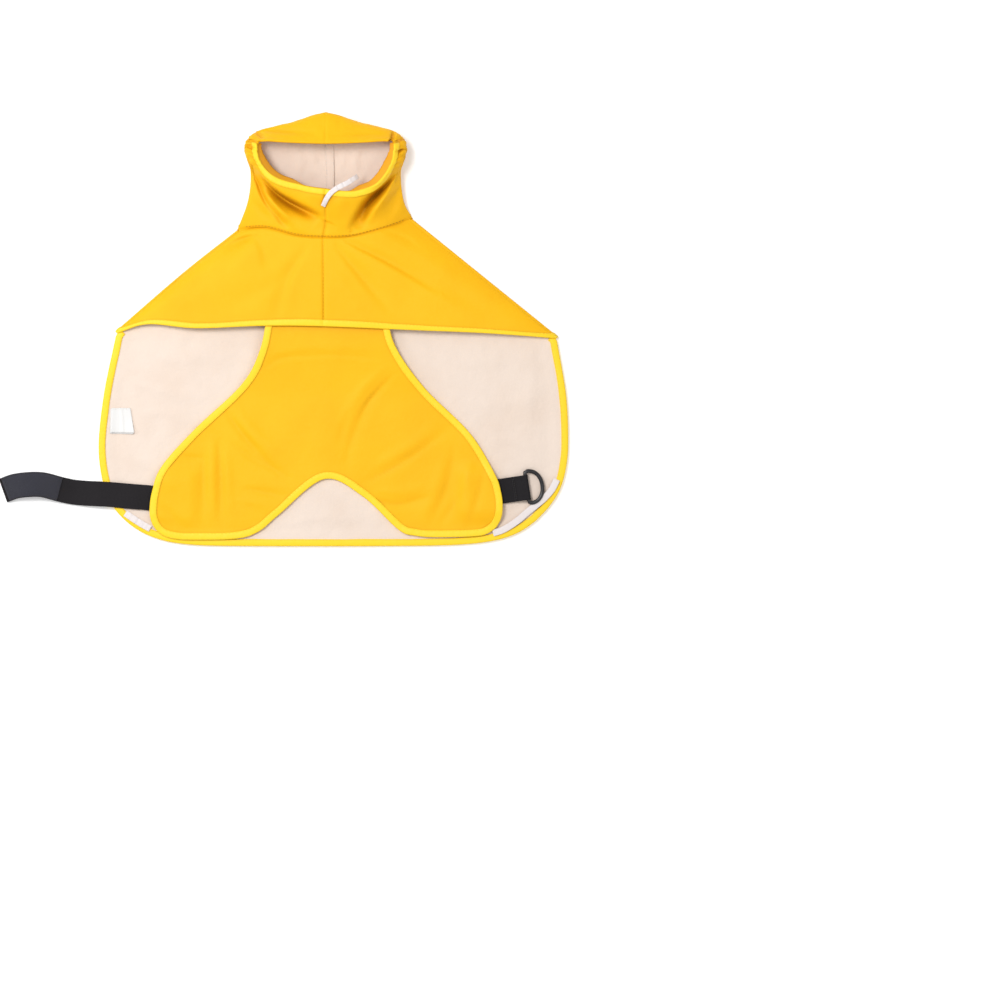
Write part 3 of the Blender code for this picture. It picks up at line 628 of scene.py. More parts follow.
class Finish(Enum):
    """Every finish on the coat."""

    # its creases and hollows get painted shade
    SHELL = Cloth("golden_coated_cloth", (0.955, 0.500, 0.004), (0.80, 0.37, 0.001), Weave.TWILL,
                  0.62 * MM, 0.56, 0.06 * MM, 0.5, crumple=16.0, shine=0.2, crease=0.85)
    # back and turned-in faces of the shell cloth, coloured darker orange than its face as painted shade
    FACING = Cloth("cloth_back_with_painted_shade", (0.90, 0.42, 0.02), (0.74, 0.30, 0.01), Weave.PLAIN,
                   0.6 * MM, 0.75, 0.06 * MM, 0.4, crumple=10.0)
    TAPE = Cloth("lemon_binding_tape", (1.0, 0.68, 0.022), (0.95, 0.56, 0.012), Weave.RIB,
                 0.7 * MM, 0.45, 0.08 * MM, 0.4, patch_amount=0.2, crumple=5.0, crumple_scale=220.0,
                 shine=0.28)
    LINING = Cloth("blush_mesh_lining", (0.815, 0.685, 0.590), (0.73, 0.57, 0.455), Weave.KNIT,
                   1.1 * MM, 0.85, 0.12 * MM, 0.5, patch_scale=16.0, patch_amount=0.6, fuzz=0.06,
                   crumple=18.0)
    WEBBING = Cloth("black_ribbed_elastic", (0.014, 0.012, 0.014), (0.004, 0.004, 0.005), Weave.RIB,
                    1.35 * MM, 0.78, 0.25 * MM, 0.7, grain_amount=0.6, fuzz=0.01, shine=0.22)
    ELASTIC = Cloth("white_flat_elastic", (0.84, 0.775, 0.76), (0.60, 0.50, 0.48), Weave.RIB,
                    0.9 * MM, 0.7, 0.16 * MM, 0.6, patch_amount=0.15, fuzz=0.1)
    LABEL = Cloth("white_satin_label", (0.79, 0.78, 0.765), (0.68, 0.67, 0.655), Weave.PLAIN,
                  0.4 * MM, 0.42, 0.04 * MM, 0.3, patch_amount=0.12)
    THREAD = twisted("golden_sewing_thread", (0.95, 0.60, 0.03), (0.80, 0.44, 0.01), 0.5)
    # real stitches on the neck seam, coloured dark brown as painted shade of the seam's groove
    SEAM_SHADE_THREAD = twisted("seam_thread_painted_shade", (0.46, 0.22, 0.012), (0.32, 0.14, 0.006), 0.55)
    PALE_THREAD = twisted("pale_sewing_thread", (0.85, 0.80, 0.74), (0.66, 0.58, 0.50), 0.5)
    DARK_THREAD = twisted("black_sewing_thread", (0.04, 0.036, 0.038), (0.012, 0.01, 0.01), 0.55)
    HOOKS = HookFace("slate_hook_tape", (0.018, 0.018, 0.027), (0.075, 0.075, 0.105), 1.25 * MM)
    PLASTIC = Moulded("black_moulded_plastic", (0.012, 0.011, 0.013), (0.045, 0.043, 0.046), 0.32)
    FILM = ClearFilm("clear_vinyl_film", (0.95, 0.95, 0.955), 0.16, 0.34)


# ---------------------------------------------------------------------------
# Making pieces
# ---------------------------------------------------------------------------

def stand(name: str, data: Any) -> Piece:
    """A new object in the scene."""
    made = bpy.data.objects.new(name, data)
    bpy.context.scene.collection.objects.link(made)
    return made


def net(build: bmesh.types.BMesh, grid: np.ndarray) -> list[list[bmesh.types.BMVert]]:
    """Vertices of a grid of points, by row and column."""
    return [[build.verts.new((p[0], p[1] + HEM_AHEAD, p[2])) for p in row] for row in grid]


def fill(build: bmesh.types.BMesh, verts: Sequence[Sequence[bmesh.types.BMVert]], u: np.ndarray,
         v: np.ndarray) -> None:
    """Fill a net of vertices with quads.

    Args:
        build: the mesh being made, with its grain layer.
        verts: vertices by row and column.
        u: each column's place along the cloth's grain.
        v: each row's place.
    """
    layer = build.loops.layers.uv["grain"]
    for i in range(len(v) - 1):
        for j in range(len(u) - 1):
            ring = ((i, j), (i + 1, j), (i + 1, j + 1), (i, j + 1))
            made = build.faces.new([verts[a][b] for a, b in ring])
            for loop, (a, b) in zip(made.loops, ring):
                loop[layer].uv = (u[b], v[a])


class Workroom:
    """Turns grids of points into named, dressed pieces on the CAD bodies."""

    def __init__(self) -> None:
        """Start with no finish made."""
        self.made: dict[Finish, bpy.types.Material] = {}

    def finish(self, finish: Finish) -> bpy.types.Material:
        """The material of a finish, made once."""
        if finish not in self.made:
            self.made[finish] = finish.value.material()
        return self.made[finish]

    def seat(self, piece: Piece, nodes: Sequence[str], body: str = COAT) -> None:
        """Put a piece on its body.

        Args:
            piece: the finished object.
            nodes: the CAD nodes it stands for.
            body: the CAD body it moves with.
        """
        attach(piece, body)
        if nodes:
            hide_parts(*nodes)
        log.info("%s: %d faces", piece.name, len(piece.data.polygons))

    def dress(self, name: str, build: bmesh.types.BMesh, finishes: Sequence[Finish]) -> Piece:
        """Turn a mesh under construction into an object with its finishes."""
        mesh = bpy.data.meshes.new(name)
        build.to_mesh(mesh)
        build.free()
        for finish in finishes:
            mesh.materials.append(self.finish(finish))
        return stand(name, mesh)

    def cut(self, name: str, grids: Sequence[np.ndarray], outer: Finish, slot: str, wall: float,
            grow: Grow = Grow.BEHIND, inner: Optional[Finish] = None,
            nodes: Optional[Sequence[str]] = None) -> Piece:
        """Make one closed sheet from grids that share borders.

        Args:
            name: the piece's name.
            grids: points by row and column, all turned the same way.
            outer: finish of the face that the grids' normals leave.
            slot: the CAD node it stands for, unless nodes are given.
            wall: thickness in metres.
            grow: where the wall is.
            inner: finish of the other face, where it differs.
            nodes: CAD nodes it stands for, where that is not the one the slot is named after.

        Returns:
            The piece.
        """
        build = bmesh.new()
        build.loops.layers.uv.new("grain")
        for grid in grids:
            across = np.linalg.norm(np.diff(grid, axis=1), axis=2).mean(axis=0)
            down = np.linalg.norm(np.diff(grid, axis=0), axis=2).mean(axis=1)
            u = np.concatenate([[0.0], np.cumsum(across)])
            v = np.concatenate([[0.0], np.cumsum(down)])
            fill(build, net(build, grid), u, v)
        bmesh.ops.remove_doubles(build, verts=build.verts, dist=MERGE)
        bmesh.ops.dissolve_degenerate(build, edges=build.edges, dist=MERGE / 2)
        piece = self.dress(name, build, (outer, inner or outer))
        thick = piece.modifiers.new("wall", "SOLIDIFY")
        thick.thickness = wall
        thick.offset = grow.value
        thick.material_offset = 0 if grow is Grow.AHEAD and inner is None else 1
        thick.use_quality_normals = True
        self.set_modifiers(piece)
        piece.data.shade_smooth()
        self.seat(piece, (slot,) if nodes is None else nodes)
        return piece

    def closed(self, name: str, grid: np.ndarray, finish: Finish, slot: str, body: str) -> None:
        """Make a solid from a grid that already closes on itself.

        Args:
            name: the piece's name.
            grid: points whose last row and column repeat the first.
            finish: its finish.
            slot: the CAD node it stands for.
            body: the CAD body it moves with.
        """
        build = bmesh.new()
        build.loops.layers.uv.new("grain")
        verts = [row + row[:1] for row in net(build, grid[:-1, :-1])]
        fill(build, verts + verts[:1], np.arange(grid.shape[1]) * MM, np.arange(grid.shape[0]) * MM)
        bmesh.ops.recalc_face_normals(build, faces=build.faces)
        piece = self.dress(name, build, (finish,))
        piece.data.shade_smooth()
        self.seat(piece, (slot,), body)

    def set_modifiers(self, piece: Piece) -> None:
        """Make a piece's modifiers its mesh."""
        graph = bpy.context.evaluated_depsgraph_get()
        done = bpy.data.meshes.new_from_object(piece.evaluated_get(graph))
        done.name = piece.name
        piece.modifiers.clear()
        piece.data = done

    def threads(self, name: str, lines: Sequence[tuple[np.ndarray, np.ndarray]], finish: Finish, slot: str,
                length: float = 2.6 * MM, space: float = 0.9 * MM) -> Piece:
        """Sew rows of stitches.

        Args:
            name: the piece's name.
            lines: each row's points, and the direction off the cloth at each.
            finish: the thread.
            slot: not used.
            length: of one stitch.
            space: between two stitches.

        Returns:
            One object with every stitch.
        """
        radius, sides = 0.26 * MM, 6
        turns = np.linspace(0, 2 * math.pi, sides + 1)[:-1]
        # rings of one stitch: place along it, thickness and lift
        shape = ((-0.5, 0.35, -0.28), (-0.3, 1.0, 0.1), (0.3, 1.0, 0.1), (0.5, 0.35, -0.28))
        verts: list[np.ndarray] = []
        faces: list[tuple[int, ...]] = []
        for line, off in lines:
            total = np.linalg.norm(np.diff(line, axis=0), axis=1).sum()
            count = max(1, int(total / (length + space)))
            places = (np.arange(count) + 0.5) / count
            spots = resample(line, places)
            heading = unit(resample(line, np.clip(places + 0.002, 0, 1)) - spots + 1e-12)
            ups = unit(resample_like(line, off, places))
            for spot, run, up in zip(spots, heading, ups):
                side = np.cross(up, run)
                first = len(verts)
                for place, thick, lift in shape:
                    middle = spot + run * (place * length) + up * (lift * radius)
                    for turn in turns:
                        verts.append(middle + (side * math.cos(turn) * 0.85 + up * math.sin(turn) * 0.75)
                                     * (thick * radius))
                for start in range(first, len(verts) - sides, sides):
                    for k in range(sides):
                        a, b = start + k, start + (k + 1) % sides
                        faces.append((a, b, b + sides, a + sides))
                faces.append(tuple(range(first + sides - 1, first - 1, -1)))
                faces.append(tuple(range(len(verts) - sides, len(verts))))
        points = np.array(verts) + (0.0, HEM_AHEAD, 0.0)
        mesh = bpy.data.meshes.new(name)
        mesh.from_pydata(points.tolist(), [], faces)
        mesh.uv_layers.new(name="grain")
        mesh.materials.append(self.finish(finish))
        mesh.shade_smooth()
        piece = stand(name, mesh)
        self.seat(piece, ())
        return piece


def resample_like(line: np.ndarray, rows: np.ndarray, places: np.ndarray) -> np.ndarray:
    """Values that belong to a line's points, read at other fractions of its length."""
    steps = np.linalg.norm(np.diff(line, axis=0), axis=1)
    along = np.concatenate([[0.0], np.cumsum(steps)]) / max(steps.sum(), 1e-9)
    return np.column_stack([np.interp(places, along, rows[:, k]) for k in range(rows.shape[1])])


@dataclass(frozen=True)
class Binding:
    """A tape folded over an edge and sewn down along both legs."""

    width: float = TAPE_WIDTH
    wall: float = 0.6 * MM
    clear: float = 0.25 * MM
    reach_past: float = 0.7 * MM
    pucker: float = 0.12 * MM
    pucker_pitch: float = 8.0 * MM
    step: float = 1.6 * MM
    seam_place: float = 0.84

    def sew(self, room: Workroom, name: str, slot: str, edge: np.ndarray, inward: np.ndarray,
            up: np.ndarray, stack: float, seed: int) -> list[Piece]:
        """Make the tape and its two rows of stitches.

        Args:
            room: where pieces are made.
            name: the tape's name.
            slot: the CAD node it stands for.
            edge: points along the lower face's edge.
            inward: direction into the cloth at each point.
            up: direction from the lower face to the upper one.
            stack: thickness inside the tape.
            seed: picks its small unevenness.

        Returns:
            The tape and its stitches.
        """
        total = np.linalg.norm(np.diff(edge, axis=0), axis=1).sum()
        places = np.linspace(0, 1, max(12, int(total / self.step)))
        line = resample(edge, places)
        ways = resample_like(edge, inward, places)
        ups = resample_like(edge, up, places)
        reach = self.width - self.wall - self.clear
        half = stack / 2 + self.clear
        rows, top_lines, low_lines = [], [], []
        for p, n, z, s in zip(line, ways, ups, places * total):
            hand = reach * (1 + 0.035 * wander(s, 60 * MM, seed))
            lift = self.pucker * (1 + wander(s, self.pucker_pitch, seed + 7))
            profile = [(hand, -self.clear * 0.3), (hand * 0.55, -self.clear), (0.0, -self.clear)]
            for angle in np.linspace(-75, 75, 7):
                turn = math.radians(angle)
                profile.append((-self.reach_past * math.cos(turn), stack / 2 + half * math.sin(turn)))
            profile += [(0.0, stack + self.clear), (hand * 0.3, stack + self.clear + lift * 0.6),
                        (hand * 0.62, stack + self.clear + lift), (hand * 0.86, stack + self.clear * 0.9),
                        (hand, stack + self.clear * 0.3)]
            rows.append([p + d * n + h * z for d, h in profile])
            sewn = p + hand * self.seam_place * n
            top_lines.append(sewn + (stack + self.clear * 0.9 + self.wall) * z)
            low_lines.append(sewn - (self.clear * 0.6 + self.wall) * z)
        grid = np.array(rows)
        middle, fold = grid.shape[0] // 2, 6
        if normals_of(grid)[middle, fold] @ -ways[middle] < 0:
            grid = grid[:, ::-1]
        tape = room.cut(name, [grid], Finish.TAPE, slot, self.wall, Grow.AHEAD)
        seams = room.threads(f"{name}_stitches", [(np.array(top_lines), ups), (np.array(low_lines), -ups)],
                             Finish.THREAD, slot)
        return [tape, seams]


@dataclass(frozen=True)
class Ribbon:
    """A flat woven tape with thin selvedges."""

    width: float
    wall: float
    finish: Finish
    columns: int = 13
    bow: float = 0.0

    def lay(self, room: Workroom, name: str, slot: str, path: np.ndarray, across: np.ndarray
            ) -> tuple[Piece, np.ndarray]:
        """Make the tape over a path.

        Args:
            room: where pieces are made.
            name: the piece's name.
            slot: the CAD node it stands for.
            path: its underside's middle line.
            across: unit direction over its width at each point.

        Returns:
            The piece and its underside's grid.
        """
        sides = np.linspace(-1, 1, self.columns)
        sides = np.sign(sides) * np.abs(sides) ** 0.8
        off = unit(np.cross(across, tangents(path)))
        off *= np.where(off[:, 2:] < 0, -1.0, 1.0) if np.mean(np.abs(off[:, 2])) > 0.8 else 1.0
        crown = (1 - sides ** 2) * self.bow
        rows = path[:, None] + across[:, None] * (sides * self.width / 2)[None, :, None]
        rows = rows + off[:, None] * crown[None, :, None]
        facing_up = np.sum(normals_of(rows)[:, self.columns // 2] * off) >= 0
        piece = room.cut(name, [rows if facing_up else rows[:, ::-1]], self.finish, slot, self.wall,
                         Grow.AHEAD)
        return piece, rows


def flat_across(path: np.ndarray) -> np.ndarray:
    """Directions in plan across a path, to the right of its heading."""
    run = tangents(path[:, :2])
    return np.column_stack([run[:, 1], -run[:, 0], np.zeros(len(path))])


# ---------------------------------------------------------------------------
# The body
# ---------------------------------------------------------------------------

@dataclass(frozen=True)
class Pattern:
    """Outlines and heights that the body's pieces share, in millimetres."""

    shoulder_left: Table = ((-86.5, 98.5), (-141, 55.5), (-207.5, -2))
    shoulder_right: Table = ((85.5, 110), (148, 59.5), (231, -7.5))
    side_left: Table = ((-208, -7), (-220, -66), (-225, -120), (-218.5, -161),
                        (-208.5, -179), (-197.5, -190.6), (-190, -196.5))
    side_right: Table = ((231, -12), (240, -66), (242, -112), (240, -137),
                         (234, -158.5), (223.5, -175.5), (210, -190))
    rear: Table = ((-190, -196.5), (-180, -202.4), (-168, -207.2), (-154, -210.9), (-136, -213.3),
                   (-112, -214.5), (-70, -214.9), (0, -215), (70, -214.8), (112, -214.3),
                   (138, -213.2), (160, -211), (180, -206.6), (196, -199.8), (210, -190))
    chest_hem: Table = ((-207.5, -2), (-176, 6.5), (-128, 2.5), (-60, 5), (0, 4.5),
                        (90, 0.5), (160, -2.5), (231, -7.5))
    front_x: float = -1.5
    # station: left x, left y, right x, right y, z
    neck: Table = ((-1.5, 92, -1.5, 92, 18), (-28, 94, 28, 93.5, 17.2),
                   (-60, 102, 60, 101.5, 13.6), (-87.5, 99.5, 87, 111, 1.8),
                   (-76, 97.5, 78, 107, 0), (-58, 96, 60, 100.5, 0),
                   (-38, 95.2, 40, 96.5, 0), (-1.5, 95, -1.5, 95, 0))
    shell: float = 1.0
    lining: float = 1.0
    layer_gap: float = 0.4
    edge_lift: float = 1.0
    lift_width: float = 9.0
    leash_half: float = 31.0
    leash_top: float = 93.0
    leash_length: float = 65.0
    leash_centre: float = -1.5
    leash_raise: float = 3.3
    leash_margin: float = 14.0
    # soft dents of the back, which lies on them: x0, y0, x1, y1, x2, y2, half width, height, lean
    back_folds: Table = (
        (-120, 40, -70, -20, -60, -90, 16, 0.7, 0.2),
        (110, 44, 84, -10, 90, -70, 18, 0.8, -0.2),
        (-150, -60, -100, -100, -30, -118, 14, 0.6, 0.2),
        (30, -90, 96, -120, 150, -112, 15, 0.6, 0.3),
        (-184, -96, -170, -136, -130, -170, 12, 0.7, 0.2),
        (196, -40, 202, -84, 190, -130, 12, 0.6, -0.3),
    )

    @property
    def stack(self) -> float:
        """Back panel and lining together, in metres."""
        return (self.shell + self.layer_gap + self.lining) * MM

    def bound(self) -> np.ndarray:
        """The taped outline of the back, from one corner round to the other."""
        return np.vstack([spline(self.side_left, 60) * MM, spline(self.rear, 90)[1:] * MM,
                          (spline(self.side_right, 60) * MM)[::-1][1:]])

    def back_height(self, xy: np.ndarray) -> np.ndarray:
        """Height of the back's outer face, which lies on the surface below."""
        near = nearest(xy, self.bound()[::3])[0]
        # the edge lifts only behind the chest hem, which runs back to the right
        hem = -0.5 - 7.0 * np.clip(xy[..., 0] / (231 * MM), 0, 1)
        corner = ease((hem * MM - xy[..., 1]) / (5.0 * MM))
        lift = self.edge_lift * MM * (1 - above(near, 8.0, self.lift_width)) * corner
        across = np.abs(xy[..., 0] - self.leash_centre * MM) - (self.leash_half + self.leash_margin) * MM
        along = (self.leash_top - self.leash_length - self.leash_margin) * MM - xy[..., 1]
        outside = np.maximum(np.maximum(across, along), 0.0)
        over_leash = self.leash_raise * MM * (1 - ease(outside / (16.0 * MM)))
        quiet = above(near, 12, 16)
        return lift + over_leash + np.maximum(folds(xy, self.back_folds), 0.0) * quiet

    def lining_top(self, xy: np.ndarray) -> np.ndarray:
        """Height of the lining's upper face."""
        return self.back_height(xy) + self.stack

    def neck_line(self, side: Side, stations: Iterable[float]) -> np.ndarray:
        """Points of the neck seam on one side, in metres, at stations of its table."""
        table = np.array(self.neck) * MM
        own, other = ((0, 1, 4), (2, 3, 4)) if side is Side.LEFT else ((2, 3, 4), (0, 1, 4))
        full = np.vstack([table[1, other], table[:, own], table[-2, other]])
        return np.array([bend(full, s) for s in stations])


PATTERN = Pattern()


@dataclass
class BodyShell:
    """The coat's one cut piece: the back and two wings that meet on the chest."""

    pattern: Pattern = PATTERN
    wall: float = 0.9 * MM
    fold_radius: float = 1.8 * MM
    lip: float = 2.0 * MM
    hem_height: float = 15.0 * MM
    least_height: float = 2.4 * MM
    fold_gain: float = 1.25
    seam_depth: float = 0.8 * MM
    seam_width: float = 1.3 * MM
    neck_depth: float = 0.9 * MM
    neck_width: float = 1.5 * MM
    last_station: float = 2.86
    back_columns: int = 110
    # soft folds of the chest: x0, y0, x1, y1, x2, y2, half width, height, lean
    chest_folds: Table = (
        (22, 88, 66, 66, 114, 38, 4.6, -1.8, 0.4),
        (20, 84, 60, 62, 112, 36, 10, 1.1, -0.2),
        (12, 82, 38, 51, 66, 17, 5.5, -1.4, 0.35),
        (70, 84, 104, 56, 158, 18, 9, -0.9, -0.2),
        (6, 60, 22, 40, 36, 16, 8, 0.8, 0.2),
        (-18, 82, -37, 51, -49, 12, 6, -1.5, -0.35),
        (-70, 94, -62, 80, -57, 60, 5, -1.1, 0.25),
        (-72, 93.5, -85, 90, -103, 82, 5, -4.6, 0.3),
        (-60, 86, -92, 60, -140, 24, 11, 0.9, 0.2),
        (-40, 54, -72, 34, -110, 18, 9, -0.8, -0.2),
        (62, 98, 80, 92, 96, 80, 4.5, -1.1, -0.3),
        (100, 40, 132, 22, 168, 6, 9, 0.8, 0.2),
    )

    def shoulder_places(self) -> np.ndarray:
        """Fractions along the shoulder at which rows lie, closer beside the neck."""
        return np.concatenate([[0.0, 0.005, 0.011, 0.018, 0.027, 0.038], np.linspace(0.05, 0.985, 62), [1.0]])

    def fold_line(self, side: Side) -> tuple[np.ndarray, np.ndarray]:
        """The shoulder's fold and the direction into the coat, in plan."""
        table = self.pattern.shoulder_left if side is Side.LEFT else self.pattern.shoulder_right
        fold = spline(table, self.shoulder_places()) * MM
        run = tangents(fold)
        return fold, np.column_stack([-run[:, 1], run[:, 0]]) * side.turn

    def outline(self, inset: float) -> list[np.ndarray]:
        """Left and right borders of the back, from the neck to the rear."""
        sides = []
        for side, table in ((Side.LEFT, self.pattern.side_left), (Side.RIGHT, self.pattern.side_right)):
            fold, inward = self.fold_line(side)
            places = np.concatenate([np.linspace(0, 1, 76)[:-1], [0.993, 1.0]])
            sides.append(np.vstack([fold + inward * inset, spline(table, places) * MM]))
        return sides

    def back_plan(self, inset: float) -> np.ndarray:
        """Plan of the back or of its lining; inset is from the shoulder folds."""
        left, right = self.outline(inset)
        neck = np.array(self.pattern.neck)
        knots = np.vstack([neck[4:, :2], neck[4:7, 2:4][::-1]]) * MM
        across = np.concatenate([[0.0, 0.006], np.linspace(0.014, 0.986, self.back_columns), [0.994, 1.0]])
        top = spline(np.vstack([left[0], knots, right[0]]), across)
        bottom = spline(self.pattern.rear, across) * MM
        return patch(top, bottom, left, right, across, np.linspace(0, 1, len(left)))

    def wing(self, side: Side) -> np.ndarray:
        """Outer face of one wing, from its lower lip round the fold to the front seam."""
        fold, inward = self.fold_line(side)
        down = self.shoulder_places()
        crest = 2 * self.fold_radius
        hem = spline(self.pattern.chest_hem, 500) * MM
        seam = self.pattern.front_x * MM
        half = hem[hem[:, 0] <= seam] if side is Side.LEFT else hem[hem[:, 0] >= seam][::-1]
        angles = np.concatenate([np.linspace(0, 0.975, 84), [0.982, 0.988, 0.993, 0.997, 1.0]]) * math.pi / 2
        # columns crowd where the hem meets the fold and where the seam starts
        swing = 1 - np.cos(angles)
        hem_xy = resample(half, swing)
        hem_xy[-1, 0] = seam
        bottom = np.column_stack([hem_xy, crest + (self.hem_height - crest) * np.sin(angles)])
        top = self.pattern.neck_line(side, self.last_station * (1 - angles / (math.pi / 2)))
        top[:, 1] -= 0.2 * MM
        top[0] = (*fold[0], crest)
        top[-1, 0] = seam
        left = np.column_stack([fold, np.full(len(fold), crest)])
        right = top[-1] + (bottom[-1] - top[-1]) * down[:, None]
        grid = self.chest_relief(patch(top, bottom, left, right, swing, down), down)
        whole = np.concatenate([self.shoulder_roll(fold, inward), grid], axis=1)
        return whole if side is Side.LEFT else whole[:, ::-1]

    def chest_relief(self, grid: np.ndarray, down: np.ndarray) -> np.ndarray:
        """Folds of a smooth wing, its sunken front seam and its sunken neck edge."""
        across = np.linspace(0, 1, grid.shape[1])[None, :]
        inside = ease(across * 3) * ease((1 - down) * 12)[:, None]
        soft = self.fold_gain * folds(grid, self.chest_folds) + 0.4 * MM * rumple(grid, 55 * MM, 4)
        grid[..., 2] += soft * inside
        grid[..., 2] = np.maximum(grid[..., 2], self.least_height)
        beside = np.abs(grid[..., 0] - self.pattern.front_x * MM)
        grid[..., 2] -= self.seam_depth * bell(beside, self.seam_width)
        neck = bell(down[:, None] * 150 * MM, self.neck_width)
        grid[..., 2] -= self.neck_depth * neck * ease(across * 6)
        return grid

    def shoulder_roll(self, fold: np.ndarray, inward: np.ndarray) -> np.ndarray:
        """Columns from the lower lip round the shoulder's fold."""
        radius = self.fold_radius
        level = [(k, 0.0) for k in (self.lip, self.lip * 0.5, 0.0)]
        turns = [math.radians(angle) for angle in np.linspace(-75, 75, 9)]
        round_it = [(-radius * math.cos(turn), radius * (1 + math.sin(turn))) for turn in turns]
        return np.stack([np.column_stack([fold + inward * shift, np.full(len(fold), height)])
                         for shift, height in level + round_it], axis=1)

    def build(self, room: Workroom) -> None:
        """Make the shell, the tape on its hem and the seam stitches."""
        plan = self.back_plan(self.lip)
        back = np.dstack([plan, self.pattern.back_height(plan)])
        back[:len(self.shoulder_places()), 0, 2] = 0.0
        back[:len(self.shoulder_places()), -1, 2] = 0.0
        left, right = self.wing(Side.LEFT), self.wing(Side.RIGHT)
        allowance = [self.neck_flange(left, 12, None), self.neck_flange(right, None, -12)]
        shell = room.cut("body_shell", [left, right, back[:, ::-1]] + allowance, Finish.SHELL, "back_panel",
                         self.wall, Grow.BEHIND, inner=Finish.FACING,
                         nodes=("back_panel", "chest_left", "chest_right"))
        tape = self.hem_tape(room, left, right)
        seam = self.front_seam(room, left)

    def neck_flange(self, wing: np.ndarray, start: Optional[int], end: Optional[int]) -> np.ndarray:
        """Seam allowance of a wing, tucked under the hood."""
        edge = wing[0, start:end]
        rows = [edge + (0.0, 6.0 * MM * k, -1.9 * MM * min(1.0, 1.6 * k)) for k in (1.0, 0.6, 0.25)]
        return np.array([*rows, edge])

    def hem_tape(self, room: Workroom, left: np.ndarray, right: np.ndarray) -> list[Piece]:
        """Tape along the chest hem, from one shoulder fold to the other."""
        first = 8
        line = np.vstack([left[-1, first:], right[-1, :-first][1:]])
        ways = [unit(grid[-3] - grid[-1]) for grid in (left[:, first:], right[:, :-first])]
        inward = np.vstack([ways[0], ways[1][1:]])
        up = unit(np.cross(tangents(line), inward))
        up *= np.where(up[:, 2:] < 0, -1.0, 1.0)
        return Binding().sew(room, "chest_hem_tape", "chest_binding", line - up * self.wall, inward, up,
                             self.wall, seed=11)

    def front_seam(self, room: Workroom, left: np.ndarray) -> Piece:
        """Sunken stitches along the centre front seam."""
        line = left[2:-4, -1] + (0.0, 0.0, 0.05 * MM)
        return room.threads("front_seam_stitches", [(line, upright(len(line)))], Finish.THREAD,
                            "chest_left", length=2.2 * MM, space=1.3 * MM)


@dataclass
class BackLining:
    """Soft lining of the back, with the tape that binds both round the edge."""

    shell: BodyShell
    pattern: Pattern = PATTERN
    wrinkle_gain: float = 1.4
    past_corner: float = 2.0 * MM
    # wrinkles: x0, y0, x1, y1, x2, y2, half width, height, lean
    wrinkles: Table = (
        (226, -16, 229, -70, 227, -128, 2.2, 1.1, 0.3),
        (-190, -18, -150, -30, -96, -26, 6, 0.7, 0.3),
        (-200, -48, -168, -60, -120, -66, 5, 0.8, -0.3),
        (-186, -86, -160, -84, -128, -96, 5, 0.6, 0.2),
        (-206, -112, -190, -128, -172, -138, 4.5, 0.7, 0.3),
        (-196, -150, -184, -160, -176, -178, 4, 0.6, -0.2),
        (-150, 0, -138, -30, -134, -66, 6, 0.5, 0.2),
        (96, -20, 140, -34, 190, -30, 6, 0.6, 0.2),
        (120, -62, 160, -74, 206, -70, 5.5, 0.6, -0.2),
        (164, -108, 190, -112, 216, -124, 5, 0.7, 0.3),
        (-40, -196, 0, -188, 46, -192, 5, 0.5, 0.2),
        (204, -20, 208, -64, 204, -108, 6, 0.5, -0.2),
    )

    def height(self, xy: np.ndarray) -> np.ndarray:
        """Height of the lining's upper face, wrinkles and all."""
        calm = ease(nearest(xy, self.pattern.bound()[::3])[0] / (16 * MM) - 0.5)
        raised = self.wrinkle_gain * np.maximum(folds(xy, self.wrinkles), 0.0)
        return self.pattern.lining_top(xy) + (raised + 0.2 * MM * (1 + rumple(xy, 26 * MM, 9))) * calm

    def build(self, room: Workroom) -> None:
        """Make the lining and the tape round the back."""
        plan = self.shell.back_plan(0.8 * MM)
        grid = np.dstack([plan, self.height(plan)])
        lining = room.cut("back_lining_cloth", [grid], Finish.LINING, "back_lining", 0.8 * MM)
        tape = self.edge_tape(room)

    def edge_tape(self, room: Workroom) -> list[Piece]:
        """Tape round the sides and rear, from shoulder corner to shoulder corner."""
        plan = self.shell.back_plan(self.shell.lip)
        grid = np.dstack([plan, self.pattern.back_height(plan)])
        first = len(self.shell.shoulder_places()) - 2
        line = rim(grid, first)
        inward = lie_along(grid, line)
        level = np.array((1.0, 1.0, 0.0))
        for end, before in ((0, 2), (-1, -3)):
            line[end] += unit((line[end] - line[before]) * level) * self.past_corner
        up = upright(len(line))
        return Binding().sew(room, "back_edge_tape", "back_binding", line, inward, up,
                             self.pattern.stack, seed=21)


# ---------------------------------------------------------------------------
# The hood
# ---------------------------------------------------------------------------

